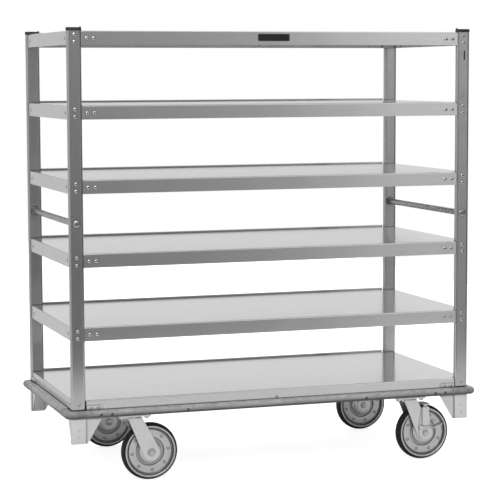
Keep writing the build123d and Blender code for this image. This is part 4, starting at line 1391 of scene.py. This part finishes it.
def addAxle(corner, look):
    low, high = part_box(corner + "_axle")
    radius, sleeve, edge, half = look["radius"], look["sleeve"], look["sleeveEdge"], look["forkHalf"]
    outer = half + look["legHeight"]
    seat = outer + look["washerHeight"]
    stubLength = look["nutHeight"] + look["tip"]
    front = Vector((0, -1, 0))
    middle = facing((0, 0, 0), front)
    head = hexHead(look["head"], look["headHeight"], look["chamfer"])
    nut = hexHead(look["head"], look["nutHeight"], look["chamfer"])
    stub = screwTail(radius, look["thread"], look["pitch"], stubLength, look["pitch"])
    washer = turnedRing(radius, look["washer"], outer, seat, look["washerEdge"])
    thrustLow = half - look["thrustHeight"]
    thrust = turnedRing(sleeve + look["thrustFit"], look["thrustRadius"], thrustLow, half, edge)
    placed = [
        (head, facing(front * seat * mm, front, math.radians(look["headTurnDeg"]))),
        (nut, facing(-front * seat * mm, -front, math.radians(look["nutTurnDeg"]))),
        (stub, facing(-front * seat * mm, front)),
        (turnedRing(0.0, radius, -seat, seat, 0.0, steps=24), middle),
        (turnedRing(radius, sleeve, -half, half, edge), middle),
    ]
    for side in (-1, 1):
        place = facing((0, 0, 0), (0, side, 0))
        placed.append((thrust, place))
        if side > 0 or corner not in look["braked"]:
            placed.append((washer, place))
    centre = Vector(((low.x + high.x) / 2, high.y - (seat + stubLength) * mm, (low.z + high.z) / 2))
    addPiece(corner + "_axle_set", placed, corner + "_caster", "axle_steel", [corner + "_axle"], centre)


for corner in corners:
    addTyre(corner, tyreLook)
    addWheel(corner, wheelLook)
    addAxle(corner, axleLook)
print("wheels made")


# Corner legs: boxed sheet with joggled gussets along the front and the end
legLook = {
    "width": 52.0,
    "depth": 22.5,
    "corner": 3.5,
    "leastCorner": 0.8,
    "sheet": 2.0,
    "footRise": 0.3,
    "footInset": 0.15,
    "joggle": 4.5,
    "boxTop": 94.0,
    "gussetTop": 91.0,
    "tabTop": 133.0,
    "tabLap": 3.0,
    "frontToe": 6.0,
    "endToe": 4.0,
    "toeRound": 1.5,
    "frontReach": 58.0,
    "endReach": 55.0,
    "frontLap": 2.0,
    "endLap": 1.0,
    "endSetback": 4.0,
    "kneeRise": 88.0,
    "tabRound": 8.0,
    "tabEndRound": 1.0,
    "tabGap": 1.5,
    "soften": 0.3,
}


def addLeg(corner, look):
    sideX, sideY = corners[corner]
    low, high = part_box(corner + "_corner_leg")
    outerX = max(abs(low.x), abs(high.x)) / mm
    faceY = max(abs(low.y), abs(high.y)) / mm
    foot = low.z / mm
    innerX = outerX - look["width"]
    innerY = faceY - look["depth"]
    sheet, rise, boxTop, toeRound = look["sheet"], look["footRise"], look["boxTop"], look["toeRound"]
    levels = [(rise, 0), (boxTop, 0), (boxTop, sheet), (rise, sheet), (0, look["footInset"]), (rise, 0)]
    box = insetRings(look["width"], look["depth"], look["corner"], levels, look["leastCorner"])
    middle = shifted(sideX * (outerX + innerX) / 2, sideY * (faceY + innerY) / 2, foot)
    placed = [(stacked(box, False), middle)]
    knee, top, tabTop = (foot + look[height] for height in ("kneeRise", "gussetTop", "tabTop"))
    tabFoot = top - look["tabLap"]
    lapX = innerX + look["frontLap"]
    lapY = innerY + look["endLap"]
    kneeX = innerX - look["frontReach"]
    kneeY = innerY - look["endReach"]
    tabEnd = innerX - look["tabGap"]
    tabCorner, endCorner = look["tabRound"], look["tabEndRound"]
    frontGusset = (
        (lapX, foot),
        (innerX - look["frontToe"], foot, toeRound),
        (kneeX, knee),
        (kneeX, top),
        (lapX, top),
    )
    frontTab = (
        (tabEnd, tabFoot),
        (kneeX, tabFoot),
        (kneeX, tabTop, tabCorner),
        (tabEnd, tabTop, endCorner),
    )
    endGusset = (
        (lapY, foot),
        (innerY - look["endToe"], foot, toeRound),
        (kneeY, knee),
        (kneeY, tabTop, tabCorner),
        (innerY, tabTop, endCorner),
        (lapY, top),
    )
    upright = Matrix.Rotation(math.radians(90), 4, "X")
    sideways = Matrix(((0, 0, 1, 0), (1, 0, 0, 0), (0, 1, 0, 0), (0, 0, 0, 1)))
    for outline, inset in ((frontGusset, look["joggle"]), (frontTab, 0.0)):
        plate = [(sideX * x, z) for x, z in roundedOutline(outline)]
        ends = sorted((-sideY * (faceY - sheet - inset), -sideY * (faceY - inset)))
        placed.append((drawnUp(plate, *ends), upright))
    endFace = outerX - look["endSetback"]
    plate = [(sideY * y, z) for y, z in roundedOutline(endGusset)]
    placed.append((drawnUp(plate, *sorted((sideX * endFace, sideX * (endFace - sheet)))), sideways))
    stands = [corner + "_corner_leg"]
    addPiece(corner + "_boxed_leg", placed, "frame", "leg_sheet", stands, soften=look["soften"])


for corner in corners:
    addLeg(corner, legLook)
print("legs made")


# Brake pedals: lever with a ribbed tread
pedalLook = {
    "boss": 7.7,
    "bossEdge": 0.5,
    "pin": 4.05,
    "knee": 42.0,
    "kneeRoundUnder": 6.0,
    "kneeRoundOver": 4.0,
    "toe": 78.0,
    "toeRise": 13.0,
    "toeRound": 3.0,
    "height": 9.0,
    "thickness": 4.0,
    "treadWidth": 22.0,
    "treadThickness": 4.2,
    "treadCorner": 2.4,
    "treadEdge": 1.2,
    "ribs": 7,
    "ribShare": 0.5,  # of the pitch
    "ribHeight": 0.8,
    "ribRoot": 0.6,
    "ribMargin": 4.0,
    "ribCorner": 0.8,
    "ribEdge": 0.7,
}


def addPedal(corner, look):
    low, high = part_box(corner + "_brake_pedal")
    boss = look["boss"] * mm
    pivot = Vector((low.x + boss, high.y, low.z + boss))
    half = look["height"] / 2
    knee, toe, rise, toeRound = look["knee"], look["toe"], look["toeRise"], look["toeRound"]
    slope = math.atan2(rise, toe - knee)
    lean = Vector((-math.sin(slope), math.cos(slope))) * half
    bend = half * math.tan(slope / 2)
    lever = roundedOutline((
        (0.0, -half),
        (knee + bend, -half, look["kneeRoundUnder"]),
        (toe - lean.x, rise - lean.y, toeRound),
        (toe + lean.x, rise + lean.y, toeRound),
        (knee - bend, half, look["kneeRoundOver"]),
        (0.0, half),
    ))
    upright = Matrix.Rotation(math.radians(90), 4, "X")
    ring = turnedRing(look["pin"], look["boss"], 0.0, look["thickness"], look["bossEdge"])
    placed = [(drawnUp(lever, 0.0, look["thickness"]), upright), (ring, upright)]
    length = math.hypot(toe - knee, rise)
    width, thick, rib, root = look["treadWidth"], look["treadThickness"], look["ribHeight"], look["ribRoot"]
    under = -(thick + rib) / 2
    centre = shifted((knee + toe) / 2, -width / 2, rise / 2) @ Matrix.Rotation(-slope, 4, "Y")
    tread = roundedPlate(length, width, look["treadCorner"], under, under + thick, look["treadEdge"])
    placed.append((tread, centre))
    pitch = length / (look["ribs"] + 1)
    ribWidth = width - look["ribMargin"]
    ribLength = pitch * look["ribShare"]
    bar = roundedPlate(ribLength, ribWidth, look["ribCorner"], 0.0, rib + root, look["ribEdge"])
    for count in range(look["ribs"]):
        along = (count - (look["ribs"] - 1) / 2) * pitch
        placed.append((bar, centre @ shifted(along, 0, under + thick - root)))
    stands = [corner + "_brake_pedal"]
    addPiece(corner + "_ribbed_pedal", placed, corner + "_pedal", "axle_steel", stands, pivot)


for corner in ("front_right", "back_right"):
    addPedal(corner, pedalLook)
print("pedals made")
